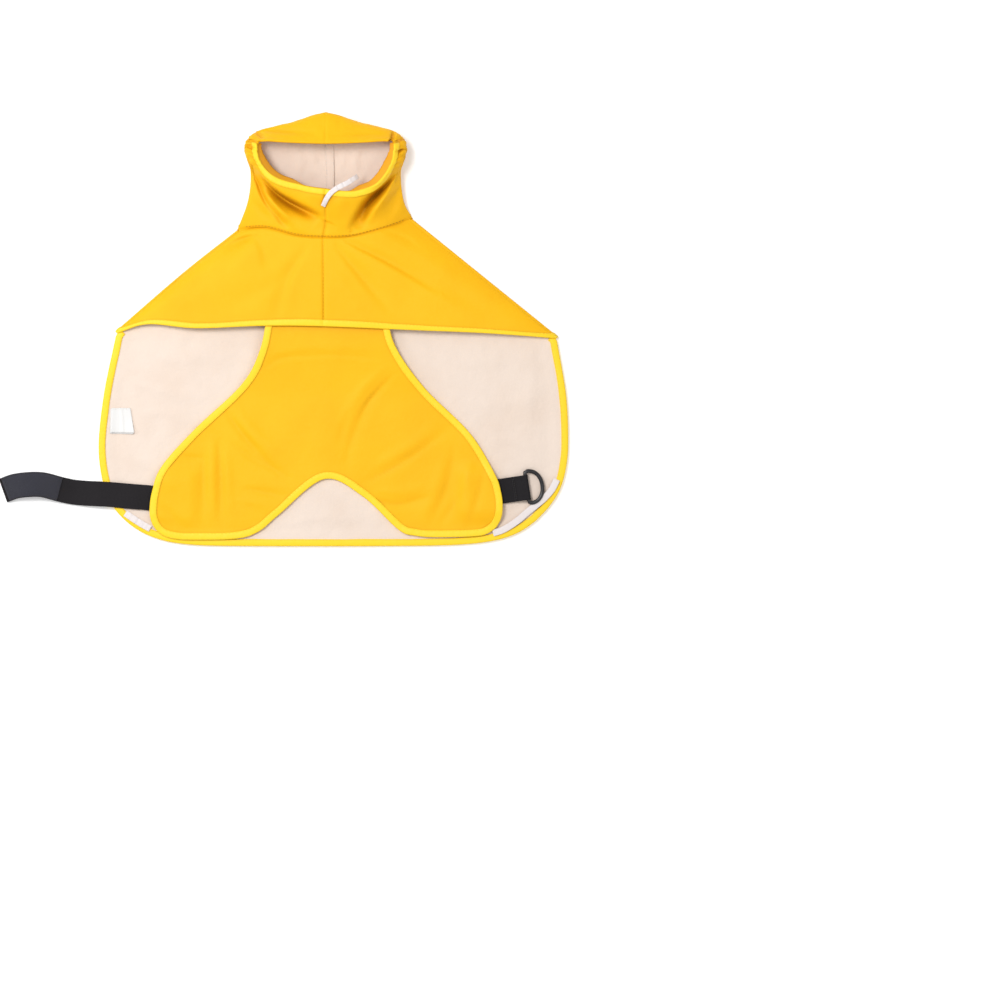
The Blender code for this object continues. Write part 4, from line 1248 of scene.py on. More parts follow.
@dataclass
class Hood:
    """Hood with its crown flopped over the face opening."""

    pattern: Pattern = PATTERN
    wall: float = 1.0 * MM
    centre: float = 1.0 * MM
    columns: int = 105
    # stations run from 0 at the front seam to 7 at the back seam
    lining_from: float = 4.55
    lining_rows: int = 44
    tape_to: float = 3.95
    seam_to: float = 2.7
    face_width: float = 5.7 * MM
    lip_radius: float = 1.5 * MM
    peak_drop: float = 1.4 * MM
    # the facing strip: its edges' distance inside the face edge and below it, and where it heads
    facing_out: tuple[float, float] = (-1.2, 10.5)
    facing_down: tuple[float, float] = (1.9, 8.0)
    opening: tuple[float, float] = (0.0, 166.0)
    roll_depth: float = 1.25 * MM
    neck_depth: float = 1.1 * MM
    neck_width: float = 1.3 * MM
    groove: float = 1.1 * MM
    # how far each side of the opening sags towards the chest, by station, and each ring's share
    sag_left: tuple[float, ...] = (0.5, -1.5, -1, 0, 0, 0, 0, 0)
    sag_right: tuple[float, ...] = (0.5, 6, 6.5, 2, 0, 0, 0, 0)
    sag_share: tuple[float, ...] = (0, 0.25, 0.7, 1)
    # station by row, ring by column: x from the centre, y, z on collar, swell, roll and edge
    rings: tuple[Table, ...] = (
        ((0, 106, 22), (0, 119, 27), (0, 131, 31), (0, 139.5, 32)),
        ((28, 108, 22), (28, 122, 27), (28, 134, 31), (28, 142.5, 32)),
        ((58, 116, 18), (57, 131, 25), (57, 144, 31), (52, 151, 32)),
        ((77.5, 128, 9), (74, 155, 14), (77.5, 172, 24), (66.5, 168, 31)),
        ((70, 130, 0), (72, 166, 3), (80, 186, 17), (69, 187, 29)),
        ((58, 131, 0), (62, 173, 1.5), (69, 197.5, 14), (60, 190, 30)),
        ((40, 132, 0), (42, 178, 0.5), (42, 205.5, 14), (38, 188.5, 31)),
        ((0, 132, 0), (0, 183, 0.5), (0, 217.5, 14), (0, 187, 31.5)),
    )
    # folds of the front: x0, y0, x1, y1, x2, y2, half width, height, lean
    front_folds: Table = (
        (-70, 160, -48, 135.5, -4, 111.5, 5.4, -12, -0.5),
        (-62, 151, -41, 131, -10, 114, 2.7, -8.5, -0.3),
        (-71, 158, -61, 132, -50, 116, 3.6, -5.5, 0.4),
        (-52, 120, -45, 110, -37, 101, 3.2, -3, 0.3),
        (-62, 140, -48, 122, -34, 108, 3.4, 3.8, 0),
        (76, 161, 61, 144, 46, 128, 4.8, -9, -0.45),
        (66, 150, 42, 126, 28, 102, 5.8, -11, 0.5),
        (58, 142, 44, 128, 34, 110, 2.8, -7.5, 0.3),
        (68, 142, 52, 122, 40, 104, 3.6, 3.4, 0),
        (84, 150, 70, 134, 60, 118, 4, -2.4, 0.3),
        (20, 134, 14, 122, 16, 110, 6, 1, 0.2),
        (-20, 134, -14, 124, -10, 114, 5, 0.9, 0.2),
        (-76, 132, -66, 122, -50, 108, 5, -1.3, 0.2),
        (80, 138, 72, 126, 62, 110, 5, -1.4, -0.2),
    )
    # sharp nicks where the crown's band meets the taped sides
    nicks: Table = (
        (-74, 200.5, -68, 196.5, -61, 191.5, 2, -6.5, 0.2),
        (68, 200, 67.5, 192, 65.5, 183, 1.8, -5.6, 0.2),
        (-80, 191, -74, 188.5, -68.5, 186.5, 1.6, -5, 0.2),
        (-79, 184, -74, 182, -69.5, 178.5, 1.6, -4.2, 0.2),
        (81, 191, 76, 188.5, 71, 186, 1.6, -4.2, -0.2),
        (80, 181, 76, 178.5, 71, 173, 1.6, -3.6, -0.2),
    )
    # folds of the crown's flopped band
    crown_folds: Table = (
        (-76, 198, -44, 197.5, -4, 193, 2.2, -4.2, 0.3),
        (70, 190, 46, 194, 4, 193, 2.2, -3.8, -0.3),
        (12, 214, 13.5, 205, 14.5, 196, 1.3, -1, 0.2),
        (-6, 206, -2, 202, -4, 197, 2.4, -0.9, 0.2),
        (-60, 200, -34, 205, -8, 210, 4.5, 0.9, 0.2),
        (60, 196, 36, 203, 20, 208, 4.5, 0.8, 0.2),
        (-20, 188, -10, 196, -6, 204, 3.5, -0.7, 0.2),
    )
    # folds of its lining, and the middle line of the tape on the lining's seam
    lining_folds: Table = (
        (-34, 186, -26, 170, -30, 148, 5, 1.6, 0.3),
        (34, 184, 30, 168, 36, 150, 5, 1.4, -0.3),
        (-12, 188, -14, 176, -10, 160, 4, 1.2, 0.2),
        (18, 188, 20, 176, 16, 158, 4, 1, 0.2),
    )
    seam_tape: Table = ((4.5, 108), (5.1, 150), (4.5, 190))

    def places(self) -> np.ndarray:
        """Stations of the columns, closer beside both centre seams."""
        middle = np.linspace(0.045, 6.955, self.columns)
        return np.concatenate([[0.0, 0.012, 0.026], middle, [6.974, 6.988, 7.0]])

    def half(self, side: Side) -> np.ndarray:
        """Outer face of one half: columns front to back, rows from the neck to the face."""
        stations = self.places()
        layers = [self.pattern.neck_line(side, stations)]
        table = np.array(self.rings) * MM
        for ring in range(4):
            knots = table[:, ring]
            full = np.vstack([knots[1] * (-1, 1, 1), knots, knots[-2] * (-1, 1, 1)])
            line = np.array([bend(full, s) for s in stations])
            line[:, 0] = line[:, 0] * float(side.value) + self.centre
            sag = np.interp(stations, range(8), self.sag_left if side is Side.LEFT else self.sag_right)
            line[:, 1] -= sag * MM * self.sag_share[ring]
            if ring == 2:
                line[:, 1] -= self.peak_drop * np.sin(math.pi * np.clip(stations - 6, 0, 1)) ** 0.8
            layers.append(line)
        rings = np.array(layers)
        down = np.concatenate([[0.0, 0.012, 0.03, 0.055], np.linspace(0.085, 0.975, 50), [0.988, 1.0]])
        grid = np.stack([spline(rings[:, j], down) for j in range(len(stations))], axis=1)
        return self.relief(grid, down, stations, side)

    def relief(self, grid: np.ndarray, down: np.ndarray, stations: np.ndarray, side: Side) -> np.ndarray:
        """Folds, puckers and seams of one half.

        Args:
            grid: the smooth half.
            down: fraction of each row.
            stations: place of each column.
            side: left or right.

        Returns:
            The half with its relief.
        """
        v = down[:, None]
        inside = ease(v * 5) * ease((1 - v) * 7)
        xy = grid[..., :2].copy()
        # where the front's and the crown's folds belong
        front = above(grid[..., 2], 8, 8) * below(grid[..., 1], 186, 14)
        crown = above(grid[..., 1], 182, 6) * above(grid[..., 2], 14, 6)
        rise = (folds(xy, self.front_folds) + 0.3 * MM * rumple(xy, 34 * MM, 5)) * front
        rise += (folds(xy, self.crown_folds) + 0.3 * MM * rumple(xy, 26 * MM, 6)) * crown
        grid[..., 2] += rise * inside + folds(xy, self.nicks) * above(grid[..., 2], 11, 6)
        # puckers of the rolled cheeks, strongest near the face edge
        cheek = ease((stations - 2.3) / 0.5) * ease((4.75 - stations) / 0.5)
        waves = wander(stations, 0.21, 31 if side is Side.LEFT else 32) * cheek
        near_edge = ease((v - 0.5) / 0.3) * (1 - 0.5 * ease((v - 0.93) / 0.07))
        outward = normals_of(grid) * side.turn
        grid += outward * (self.roll_depth * waves[None, :] * near_edge)[..., None]
        # the cloth dips into the neck seam and into the centre seam, less so on the crown
        at_seam = bell(v * 60 * MM, self.neck_width) * ease(grid[..., 2] / (4 * MM))
        grid[..., 2] -= self.neck_depth * at_seam
        beside = np.abs(grid[..., 0] - grid[:, :1, 0])
        groove = self.groove * bell(beside, self.groove)
        share = 1 - 0.65 * above(grid[..., 1], 180, 6)
        grid[..., 2] -= groove * share * above(grid[..., 2], 4, 4)
        grid[..., 2] = np.maximum(grid[..., 2], 0.0)
        return grid

    def turned_under(self, grid: np.ndarray) -> np.ndarray:
        """Extra rows that fold the crown's edge under, fading out beside the taped sides."""
        stations = self.places()
        weight = ease((stations - 3.5) / 0.6)[:, None]
        off = normals_of(grid)
        off = unit(off[-1]) * np.sign(np.mean(off[-1, 60:, 2]))
        ahead = unit(grid[-1] - grid[-4])
        radius = self.lip_radius
        rows = []
        # round the edge, then back under the crown, a little lower with each row
        for angle in (30, 60, 90, 120, 150, 180):
            turn = math.radians(angle)
            shift = ahead * math.sin(turn) - off * (1 - math.cos(turn))
            rows.append(grid[-1] + shift * radius * weight)
        for back, extra in ((4, 0.0), (8, 0.6), (13, 1.2)):
            under = grid[-1 - back] - off * (2 * radius + extra * MM)
            rows.append(grid[-1] + (under - grid[-1]) * weight)
        return np.concatenate([grid, np.array(rows)], axis=0)

    def whole(self) -> np.ndarray:
        """Both halves as one grid: left front, round the back, right front."""
        left = self.half(Side.LEFT)
        right = self.half(Side.RIGHT)
        right[:, -1] = left[:, -1]
        return np.concatenate([left, right[:, :-1][:, ::-1]], axis=1)

    def build(self, room: Workroom) -> None:
        """Make the hood, its face tape, facing strip, lining and seams."""
        halves = []
        for side in Side:
            grid = self.turned_under(self.half(side))
            halves.append(grid if side is Side.LEFT else grid[:, ::-1])
        halves[1][:, 0] = halves[0][:, -1]
        halves[1][:, -1] = halves[0][:, 0]
        shell = room.cut("hood_shell", halves, Finish.SHELL, "hood_left", self.wall, Grow.BEHIND,
                         inner=Finish.FACING, nodes=("hood_left", "hood_right"))
        tape = self.face_tape(room)
        seams = self.seams(room)
        facing = self.facing_band(room)
        self.inside(room)

    def face_tape(self, room: Workroom) -> list[Piece]:
        """Tape round the chin and cheeks, whose ends go under the crown."""
        last = int(np.searchsorted(self.places(), self.tape_to))
        left = self.half(Side.LEFT)[:, :last]
        right = self.half(Side.RIGHT)[:, :last]
        edge = np.vstack([left[-1][::-1], right[-1][1:]])[::-1]
        ways = [unit(grid[-5] - grid[-1]) for grid in (left, right)]
        inward = np.vstack([ways[0][::-1], ways[1][1:]])[::-1]
        up = unit(np.cross(tangents(edge), inward))
        up *= np.sign(up[len(up) // 2, 2])
        return Binding(width=self.face_width, pucker=0.2 * MM, pucker_pitch=7.0 * MM).sew(
            room, "face_tape", "face_binding", edge - up * self.wall, inward, up, self.wall, seed=41)

    def facing_band(self, room: Workroom) -> Piece:
        """Turned-in strip of shell cloth that shows inside the taped edge at both cheeks, coloured darker
        orange as painted shade.
        """
        stations = self.places()
        last = int(np.searchsorted(stations, self.tape_to + 0.12))
        left = self.half(Side.LEFT)[-1, :last]
        right = self.half(Side.RIGHT)[-1, 1:last]
        edge = np.vstack([left[::-1], right])
        place = np.concatenate([stations[:last][::-1], stations[1:last]])
        into = np.array((*self.opening, 0.0)) * MM - edge
        into[:, 2] = 0.0
        into = unit(into)
        # narrow at the chin, wide at the cheeks, half as wide under the crown
        share = 0.3 + 0.7 * ease(place - 0.7) * (1 - 0.5 * ease((place - 3.0) / 0.8))
        rows = []
        for t in np.linspace(0, 1, 9):
            out = (self.facing_out[0] + self.facing_out[1] * t * share) * MM
            down = (self.facing_down[0] + self.facing_down[1] * t ** 1.4 * share) * MM
            rows.append(edge + into * out[:, None] - np.outer(down, (0.0, 0.0, 1.0)))
        strip = np.stack(rows, axis=1)
        return room.cut("hood_facing_band", [strip], Finish.FACING, "hood_left", 0.6 * MM, nodes=())

    def seams(self, room: Workroom) -> Piece:
        """Stitches along the front of the neck seam, in dark brown thread that paints the seam's shade."""
        row, count = 2, int(np.searchsorted(self.places(), self.seam_to))
        lines = []
        for side in Side:
            grid = self.half(side)
            off = normals_of(grid)[row, :count] * side.turn
            lines.append((grid[row, :count] + (0.0, 0.0, 0.15 * MM), np.where(off[:, 2:] < 0, -off, off)))
        return room.threads("neck_seam_stitches", lines, Finish.SEAM_SHADE_THREAD, "hood_left",
                            length=2.2 * MM, space=1.2 * MM)

    def inside(self, room: Workroom) -> None:
        """Lining on the hood's back wall and up its sides, with the tape over its seam."""
        grid = self.whole()
        first = int(np.searchsorted(self.places(), self.lining_from))
        back = grid[:self.lining_rows, first:grid.shape[1] - first]
        cloth = back - normals_of(back) * (self.wall + 0.6 * MM)
        xy = cloth[..., :2]
        cloth[..., 2] += (0.3 * MM * (1 + rumple(xy, 22 * MM, 12))
                          + np.maximum(folds(xy, self.lining_folds), 0.0))
        lining = room.cut("hood_lining_cloth", [cloth[:, ::-1]], Finish.LINING, "hood_lining", 0.8 * MM,
                          Grow.AHEAD)
        line = spline(self.seam_tape, 60) * MM
        path = drape(grid_tree(cloth), line, 1.0 * MM, 3.0 * MM)
        _, under = Ribbon(8.5 * MM, 0.5 * MM, Finish.LINING, bow=0.35 * MM).lay(
            room, "hood_seam_tape_cloth", "hood_seam_tape", path, flat_across(path))
        ups = upright(len(path))
        rows_of_thread = [(under[:, k] + (0.0, 0.0, 0.75 * MM), ups) for k in (1, -2)]
        room.threads("hood_seam_tape_stitches", rows_of_thread, Finish.PALE_THREAD, "hood_seam_tape")


@dataclass
class Visor:
    """Clear brim, sewn inside the crown's edge and curled into the crown."""

    hood: Hood
    first: float = 5.1
    radius: float = 7.0 * MM
    half_width: float = 62.0 * MM
    below_edge: float = 7.5 * MM
    tail: float = 6.0 * MM
    wall: float = 0.5 * MM

    def build(self, room: Workroom) -> None:
        """Make the film and the tape on its front edge."""
        start = int(np.searchsorted(self.hood.places(), self.first))
        whole = self.hood.whole()
        edge = resample(whole[-1, start:whole.shape[1] - start], 90)
        reach = np.clip(np.abs(edge[:, 0] - self.hood.centre) / self.half_width, 0, 1)
        radius = self.radius * (1 - 0.45 * reach ** 2)
        middle_y = edge[:, 1] + 0.8 * MM + 4.7 * MM * (1 - reach ** 2)
        middle_z = edge[:, 2] - self.below_edge - radius
        # it curls less and tighter towards both ends
        turn = math.radians(60) + math.radians(110) * np.sqrt(1 - reach ** 4 * 0.98)
        angles = [math.pi / 2 - turn * k for k in np.linspace(0, 1, 30)]
        rows = [np.column_stack([edge[:, 0], middle_y + radius * np.cos(angle),
                                 middle_z + radius * np.sin(angle)]) for angle in angles]
        angle = angles[-1]
        ahead = np.column_stack([0 * angle, np.sin(angle), -np.cos(angle)])
        rows += [rows[-1] + ahead * self.tail * k for k in (0.33, 0.66, 1.0)]
        grid = np.array(rows)
        film = room.cut("visor_film", [grid], Finish.FILM, "visor", self.wall, Grow.AHEAD)
        line = grid[-1][5:-5]
        inward = unit(grid[-4][5:-5] - line)
        up = unit(np.cross(tangents(line), inward))
        tape = Binding(width=4.6 * MM, wall=0.5 * MM).sew(
            room, "visor_tape", "visor_binding", line, inward, up, self.wall + 0.3 * MM, seed=51)


# ---------------------------------------------------------------------------
# Flaps
# ---------------------------------------------------------------------------

@dataclass
class BellyFlap:
    """Belly flap with two lobes, sewn under the chest hem."""

    pattern: Pattern = PATTERN
    wall: float = 0.9 * MM
    columns: int = 110
    rows: int = 120
    rest: float = 2.4 * MM
    hem: float = 10.6 * MM
    fold_gain: float = 1.3
    # what lies under it, the strap and the tab: x where it starts, run, y of the middle, height
    bulges: Table = ((-122, -14, -168, 2.7), (128, 16, -163, 3.9))
    left: Table = ((-56, 19), (-63.5, -20), (-82, -55), (-130, -101),
                   (-162, -137), (-171.5, -162), (-174, -181), (-172, -192), (-167.5, -199.5))
    right: Table = ((61, 19), (69, -16), (98, -58), (144, -104),
                    (168.5, -144), (175, -163), (176.5, -178), (174.8, -188.5), (170.5, -196.5))
    rear: Table = ((-167.5, -199.5), (-161, -204.6), (-150, -207.6), (-134, -208.6), (-88, -207.4),
                   (-66, -200), (-47, -184), (-1, -148), (38, -165), (74, -198.5),
                   (90, -204.4), (112, -206), (148, -205.2), (161.5, -202.8), (170.5, -196.5))
    # folds: x0, y0, x1, y1, x2, y2, half width, height, lean
    flap_folds: Table = (
        (-60, -38, -40, -28, 2, -25.5, 3.4, -1, 0.4),
        (-6, -25, 26, -26, 54, -29, 3.4, -0.7, 0.4),
        (-54, -24, -20, -18, 40, -17, 6, 0.8, 0),
        (68, -44, 43, -72, 27, -106, 3.6, -1.2, 0.4),
        (30, -98, 24, -116, 21, -136, 3.2, -0.8, 0.3),
        (58, -38, 32, -66, 17, -100, 6, 1.1, 0.2),
        (24, -80, 17, -100, 14, -118, 3, -0.7, 0.2),
        (-98, -82, -82, -103, -58, -131, 3.4, -1.3, -0.4),
        (-64, -126, -48, -140, -34, -150, 3.2, -1, -0.3),
        (-88, -80, -72, -102, -46, -128, 6.5, 1.2, 0),
        (-94, -112, -70, -131, -49, -141, 3, -0.8, 0.2),
        (-106, -110, -105.5, -150, -105, -194, 3, -1.3, 0.4),
        (-113, -108, -113.5, -150, -113, -190, 5, 1.2, 0),
        (-122, -120, -122, -150, -121, -184, 3, -0.9, 0.3),
        (-98, -120, -97, -150, -96, -186, 4.5, 0.8, 0),
        (-82, -159, -60, -163, -40, -168, 3.2, -1.1, 0.3),
        (-86, -170, -66, -173, -52, -178, 4, 0.7, 0),
        (-144, -126, -134, -128, -122, -129, 2.6, -0.8, 0.2),
        (38, -153, 80, -131, 120, -102, 3.4, -1, 0.3),
        (48, -138, 86, -116, 112, -96, 6, 0.8, 0),
        (44, -168, 72, -174, 106, -166, 3.2, -1.1, -0.3),
        (50, -160, 76, -162, 104, -156, 4.5, 0.8, 0),
        (158, -138, 152.5, -166, 143, -193, 3, -1.2, 0.4),
        (129, -115, 122, -154, 105, -192, 3, -1, 0.3),
        (139, -157, 128, -176, 115, -193, 2.8, -1, 0.3),
        (146, -134, 138, -164, 128, -190, 5, 1.1, 0),
        (118, -128, 112, -156, 98, -188, 5, 0.9, 0),
        (-164, -176, -154, -186, -146, -196, 3.4, -0.8, 0.2),
    )

    def height(self, xy: np.ndarray) -> np.ndarray:
        """Height of the flap's lower face."""
        x, y = xy[..., 0], xy[..., 1]
        quiet = 0.45 + 0.55 * above(y, -206, 16)
        soft = (self.fold_gain * folds(xy, self.flap_folds) + 0.2 * MM * rumple(xy, 42 * MM, 14)) * quiet
        level = self.pattern.lining_top(xy) + self.rest
        for start, run, middle, height in self.bulges:
            beside = np.abs(y - middle * MM) / (20 * MM)
            level = level + height * MM * above(x, start, run) * ease(1.8 - beside)
        level = level + soft
        climb = above(y, -72, 66)
        return level * (1 - climb) + (self.hem + 0.4 * soft) * climb + 0.8 * MM * above(y, 11, 7)

    def build(self, room: Workroom) -> None:
        """Make the flap and the tape round it."""
        down = np.concatenate([[0.0], np.linspace(0.008, 0.99, self.rows), [0.996, 1.0]])
        left = spline(self.left, down) * MM
        right = spline(self.right, down) * MM
        across = np.concatenate([[0.0, 0.008], np.linspace(0.018, 0.982, self.columns), [0.992, 1.0]])
        rear = spline(self.rear, across) * MM
        top = left[0] + (right[0] - left[0]) * across[:, None]
        plan = patch(top, rear, left, right, across, down)
        grid = np.dstack([plan, self.height(plan)])
        flap = room.cut("belly_flap_cloth", [grid], Finish.SHELL, "belly_flap", self.wall, Grow.AHEAD,
                        inner=Finish.FACING)
        first = 3
        line = rim(grid, first)
        inward = lie_along(grid, line)
        tape = Binding(pucker=0.16 * MM).sew(room, "belly_flap_tape", "flap_binding", line, inward,
                                             upright(len(line)), self.wall, seed=61)


@dataclass
class LeashFlap:
    """Small bound flap over the leash slot, under the back."""

    pattern: Pattern = PATTERN
    wall: float = 0.9 * MM
    lift: float = 1.0 * MM

    def build(self, room: Workroom) -> None:
        """Make the flap and the tape round it."""
        half, top = self.pattern.leash_half, self.pattern.leash_top
        low = top - self.pattern.leash_length
        down = np.linspace(0, 1, 44)
        across = np.concatenate([[0.0, 0.02], np.linspace(0.05, 0.95, 30), [0.98, 1.0]])
        corner = (-0.72 * half, low + 0.31 * half)
        left = spline(((-half, top), (-half, low + half), (-0.93 * half, low + 0.6 * half), corner),
                      down) * MM
        rear = spline((corner, (0.0, low), (-corner[0], corner[1])), across) * MM
        right = left * (-1, 1)
        head = left[0] + (right[0] - left[0]) * across[:, None]
        plan = patch(head, rear, left, right, across, down) + (self.pattern.leash_centre * MM, 0.0)
        grid = np.dstack([plan, self.lift + 0.12 * MM * (1 + rumple(plan, 24 * MM, 17))])
        flap = room.cut("leash_flap_cloth", [grid[:, ::-1]], Finish.SHELL, "leash_flap", self.wall,
                        inner=Finish.FACING)
        line = rim(grid, 0)
        tape = Binding(width=6.0 * MM, pucker=0.0).sew(room, "leash_flap_tape", "leash_binding", line,
                                                       plan_inward(line), upright(len(line)), self.wall,
                                                       seed=71)


# ---------------------------------------------------------------------------
# Straps, ring and small trim
# ---------------------------------------------------------------------------

@dataclass
class BellyStrap:
    """Black elastic strap with hook tape on its free end."""

    width: float = 25.0 * MM
    wall: float = 1.3 * MM
    hook_wall: float = 0.9 * MM
    hook_from: int = 8
    route: Table = ((-140, -170.5, 2.8), (-160, -169.5, 2.8), (-178, -167.6, 3.5), (-193, -166.4, 4.8),
                    (-215, -164.5, 5), (-228, -163.8, 4.8), (-240, -163.2, 2.4), (-252, -162, 1),
                    (-264, -159.5, 2.6), (-281, -155, 7.6), (-294, -154.5, 8.6), (-309, -156.2, 5.6),
                    (-321.5, -160.5, 0.6))

    def build(self, room: Workroom) -> None:
        """Make the strap, its hook tape and the stitches that hold it."""
        path = spline(self.route, 120) * MM
        across = flat_across(path)
        strap, _ = Ribbon(self.width, self.wall, Finish.WEBBING, 31).lay(
            room, "belly_strap_webbing", "belly_strap", path, across)
        inner = path[:, 0] < self.route[self.hook_from][0] * MM
        off = unit(np.cross(across, tangents(path)))
        off *= np.where(off[:, 2:] < 0, -1.0, 1.0)
        part = (path + off * (self.wall + 0.1 * MM))[inner][:-2]
        ups = off[inner][:-2]
        hook, under = Ribbon(self.width - 1.2 * MM, self.hook_wall, Finish.HOOKS, 27).lay(
            room, "hook_tape_face", "hook_tape", part, across[inner][:-2])
        raised = self.hook_wall + 0.1 * MM
        border = [(under[:, 1] + ups * raised, ups), (under[:, -2] + ups * raised, ups),
                  (under[2] + ups[2] * raised, np.tile(ups[2], (under.shape[1], 1))),
                  (under[-3] + ups[-3] * raised, np.tile(ups[-3], (under.shape[1], 1)))]
        seams = room.threads("hook_tape_stitches", border, Finish.DARK_THREAD, "hook_tape", length=2.4 * MM)


@dataclass
class RingTab:
    """Webbing tab folded round the bar of the D-ring."""

    width: float = 25.0 * MM
    wall: float = 1.3 * MM
    gap: float = 0.3 * MM
    bar: tuple[float, float] = (202.0, -157.4)
    heading: float = math.radians(8.5)
    rod: float = 2.0 * MM
    tail: float = 40.0 * MM
    stack: float = PATTERN.stack

    def build(self, room: Workroom) -> None:
        """Make the tab and its bar tack."""
        low = self.stack + 2 * self.gap + self.wall
        bar_height = low + self.gap + self.rod
        centre = np.array((*self.bar, 0.0)) * MM
        way = np.array((math.cos(self.heading), math.sin(self.heading), 0.0))
        radius = self.rod + self.gap
        profile = [(-self.tail, low + self.gap), (-0.6 * self.tail, low + self.gap),
                   (-0.38 * self.tail, low + 1.0 * MM), (-0.16 * self.tail, bar_height + 0.62 * radius)]
        for angle in np.linspace(105, -90, 14):
            turn = math.radians(angle)
            profile.append((radius * math.cos(turn), bar_height + radius * math.sin(turn)))
        profile += [(-0.3 * self.tail, low), (-self.tail, low)]
        path = np.array([centre + way * t + np.array((0.0, 0.0, z)) for t, z in profile])
        path = resample(path, 90)
        across = np.tile((math.sin(self.heading), -math.cos(self.heading), 0.0), (len(path), 1))
        sides = np.linspace(-1, 1, 27)
        rows = path[:, None] + across[:, None] * (sides * self.width / 2)[None, :, None]
        tab = room.cut("ring_tab_webbing", [rows], Finish.WEBBING, "ring_tab", self.wall, Grow.AHEAD)
        top = centre + way * (-0.30 * self.tail)
        side = across[0]
        lines = []
        for shift in (0.0, -1.4 * MM):
            ends = [top + way * shift + side * k * self.width * 0.42 for k in (-1, 1)]
            line = resample(np.array(ends), 20)
            height = np.interp(-0.30 * self.tail + shift, *np.array(profile[:4]).T)
            line[:, 2] = height + self.wall + 0.05 * MM
            lines.append((line, upright(20)))
        tack = room.threads("ring_tab_bar_tack", lines, Finish.DARK_THREAD, "ring_tab", length=1.6 * MM,
                            space=0.3 * MM)


@dataclass
class DRing:
    """Black plastic D-ring that swings on its bar."""

    tab: RingTab
    half: float = 16.2 * MM
    depth: float = 15.4 * MM
    sides: int = 20

    def build(self, room: Workroom) -> None:
        """Make the ring where the CAD has it."""
        rod = self.tab.rod
        bar_height = self.tab.stack + 3 * self.tab.gap + self.tab.wall + rod
        # its bow rests just above the lining
        drop = bar_height - (self.tab.stack + 5 * self.tab.gap + rod)
        points = [(0.0, w) for w in np.linspace(-0.92, 0.92, 19) * self.half]
        for angle in np.linspace(84, -84, 46):
            turn = math.radians(angle)
            points.append((self.depth * math.cos(turn) ** 0.75, self.half * math.sin(turn)))
        flat = np.array([(t, w, 0.0) for t, w in points])
        run = unit(np.roll(flat, -1, axis=0) - np.roll(flat, 1, axis=0))
        side = np.column_stack([run[:, 1], -run[:, 0], np.zeros(len(run))])
        turns = np.linspace(0, 2 * math.pi, self.sides + 1)
        lie = math.asin(drop / self.depth)
        thick = rod * 0.985
        rows = [[p + n * math.cos(a) * thick + np.array((0, 0, 1.0)) * math.sin(a) * thick for a in turns]
                for p, n in zip(flat, side)]
        grid = np.array(rows + rows[:1])
        tilt = np.array(((math.cos(lie), 0, math.sin(lie)), (0, 1, 0), (-math.sin(lie), 0, math.cos(lie))))
        turn = self.tab.heading
        swing = np.array(((math.cos(turn), -math.sin(turn), 0), (math.sin(turn), math.cos(turn), 0),
                          (0, 0, 1)))
        grid = grid @ tilt.T @ swing.T + np.array((self.tab.bar[0] * MM, self.tab.bar[1] * MM, bar_height))
        room.closed("d_ring_plastic", grid, Finish.PLASTIC, "d_ring", RING)


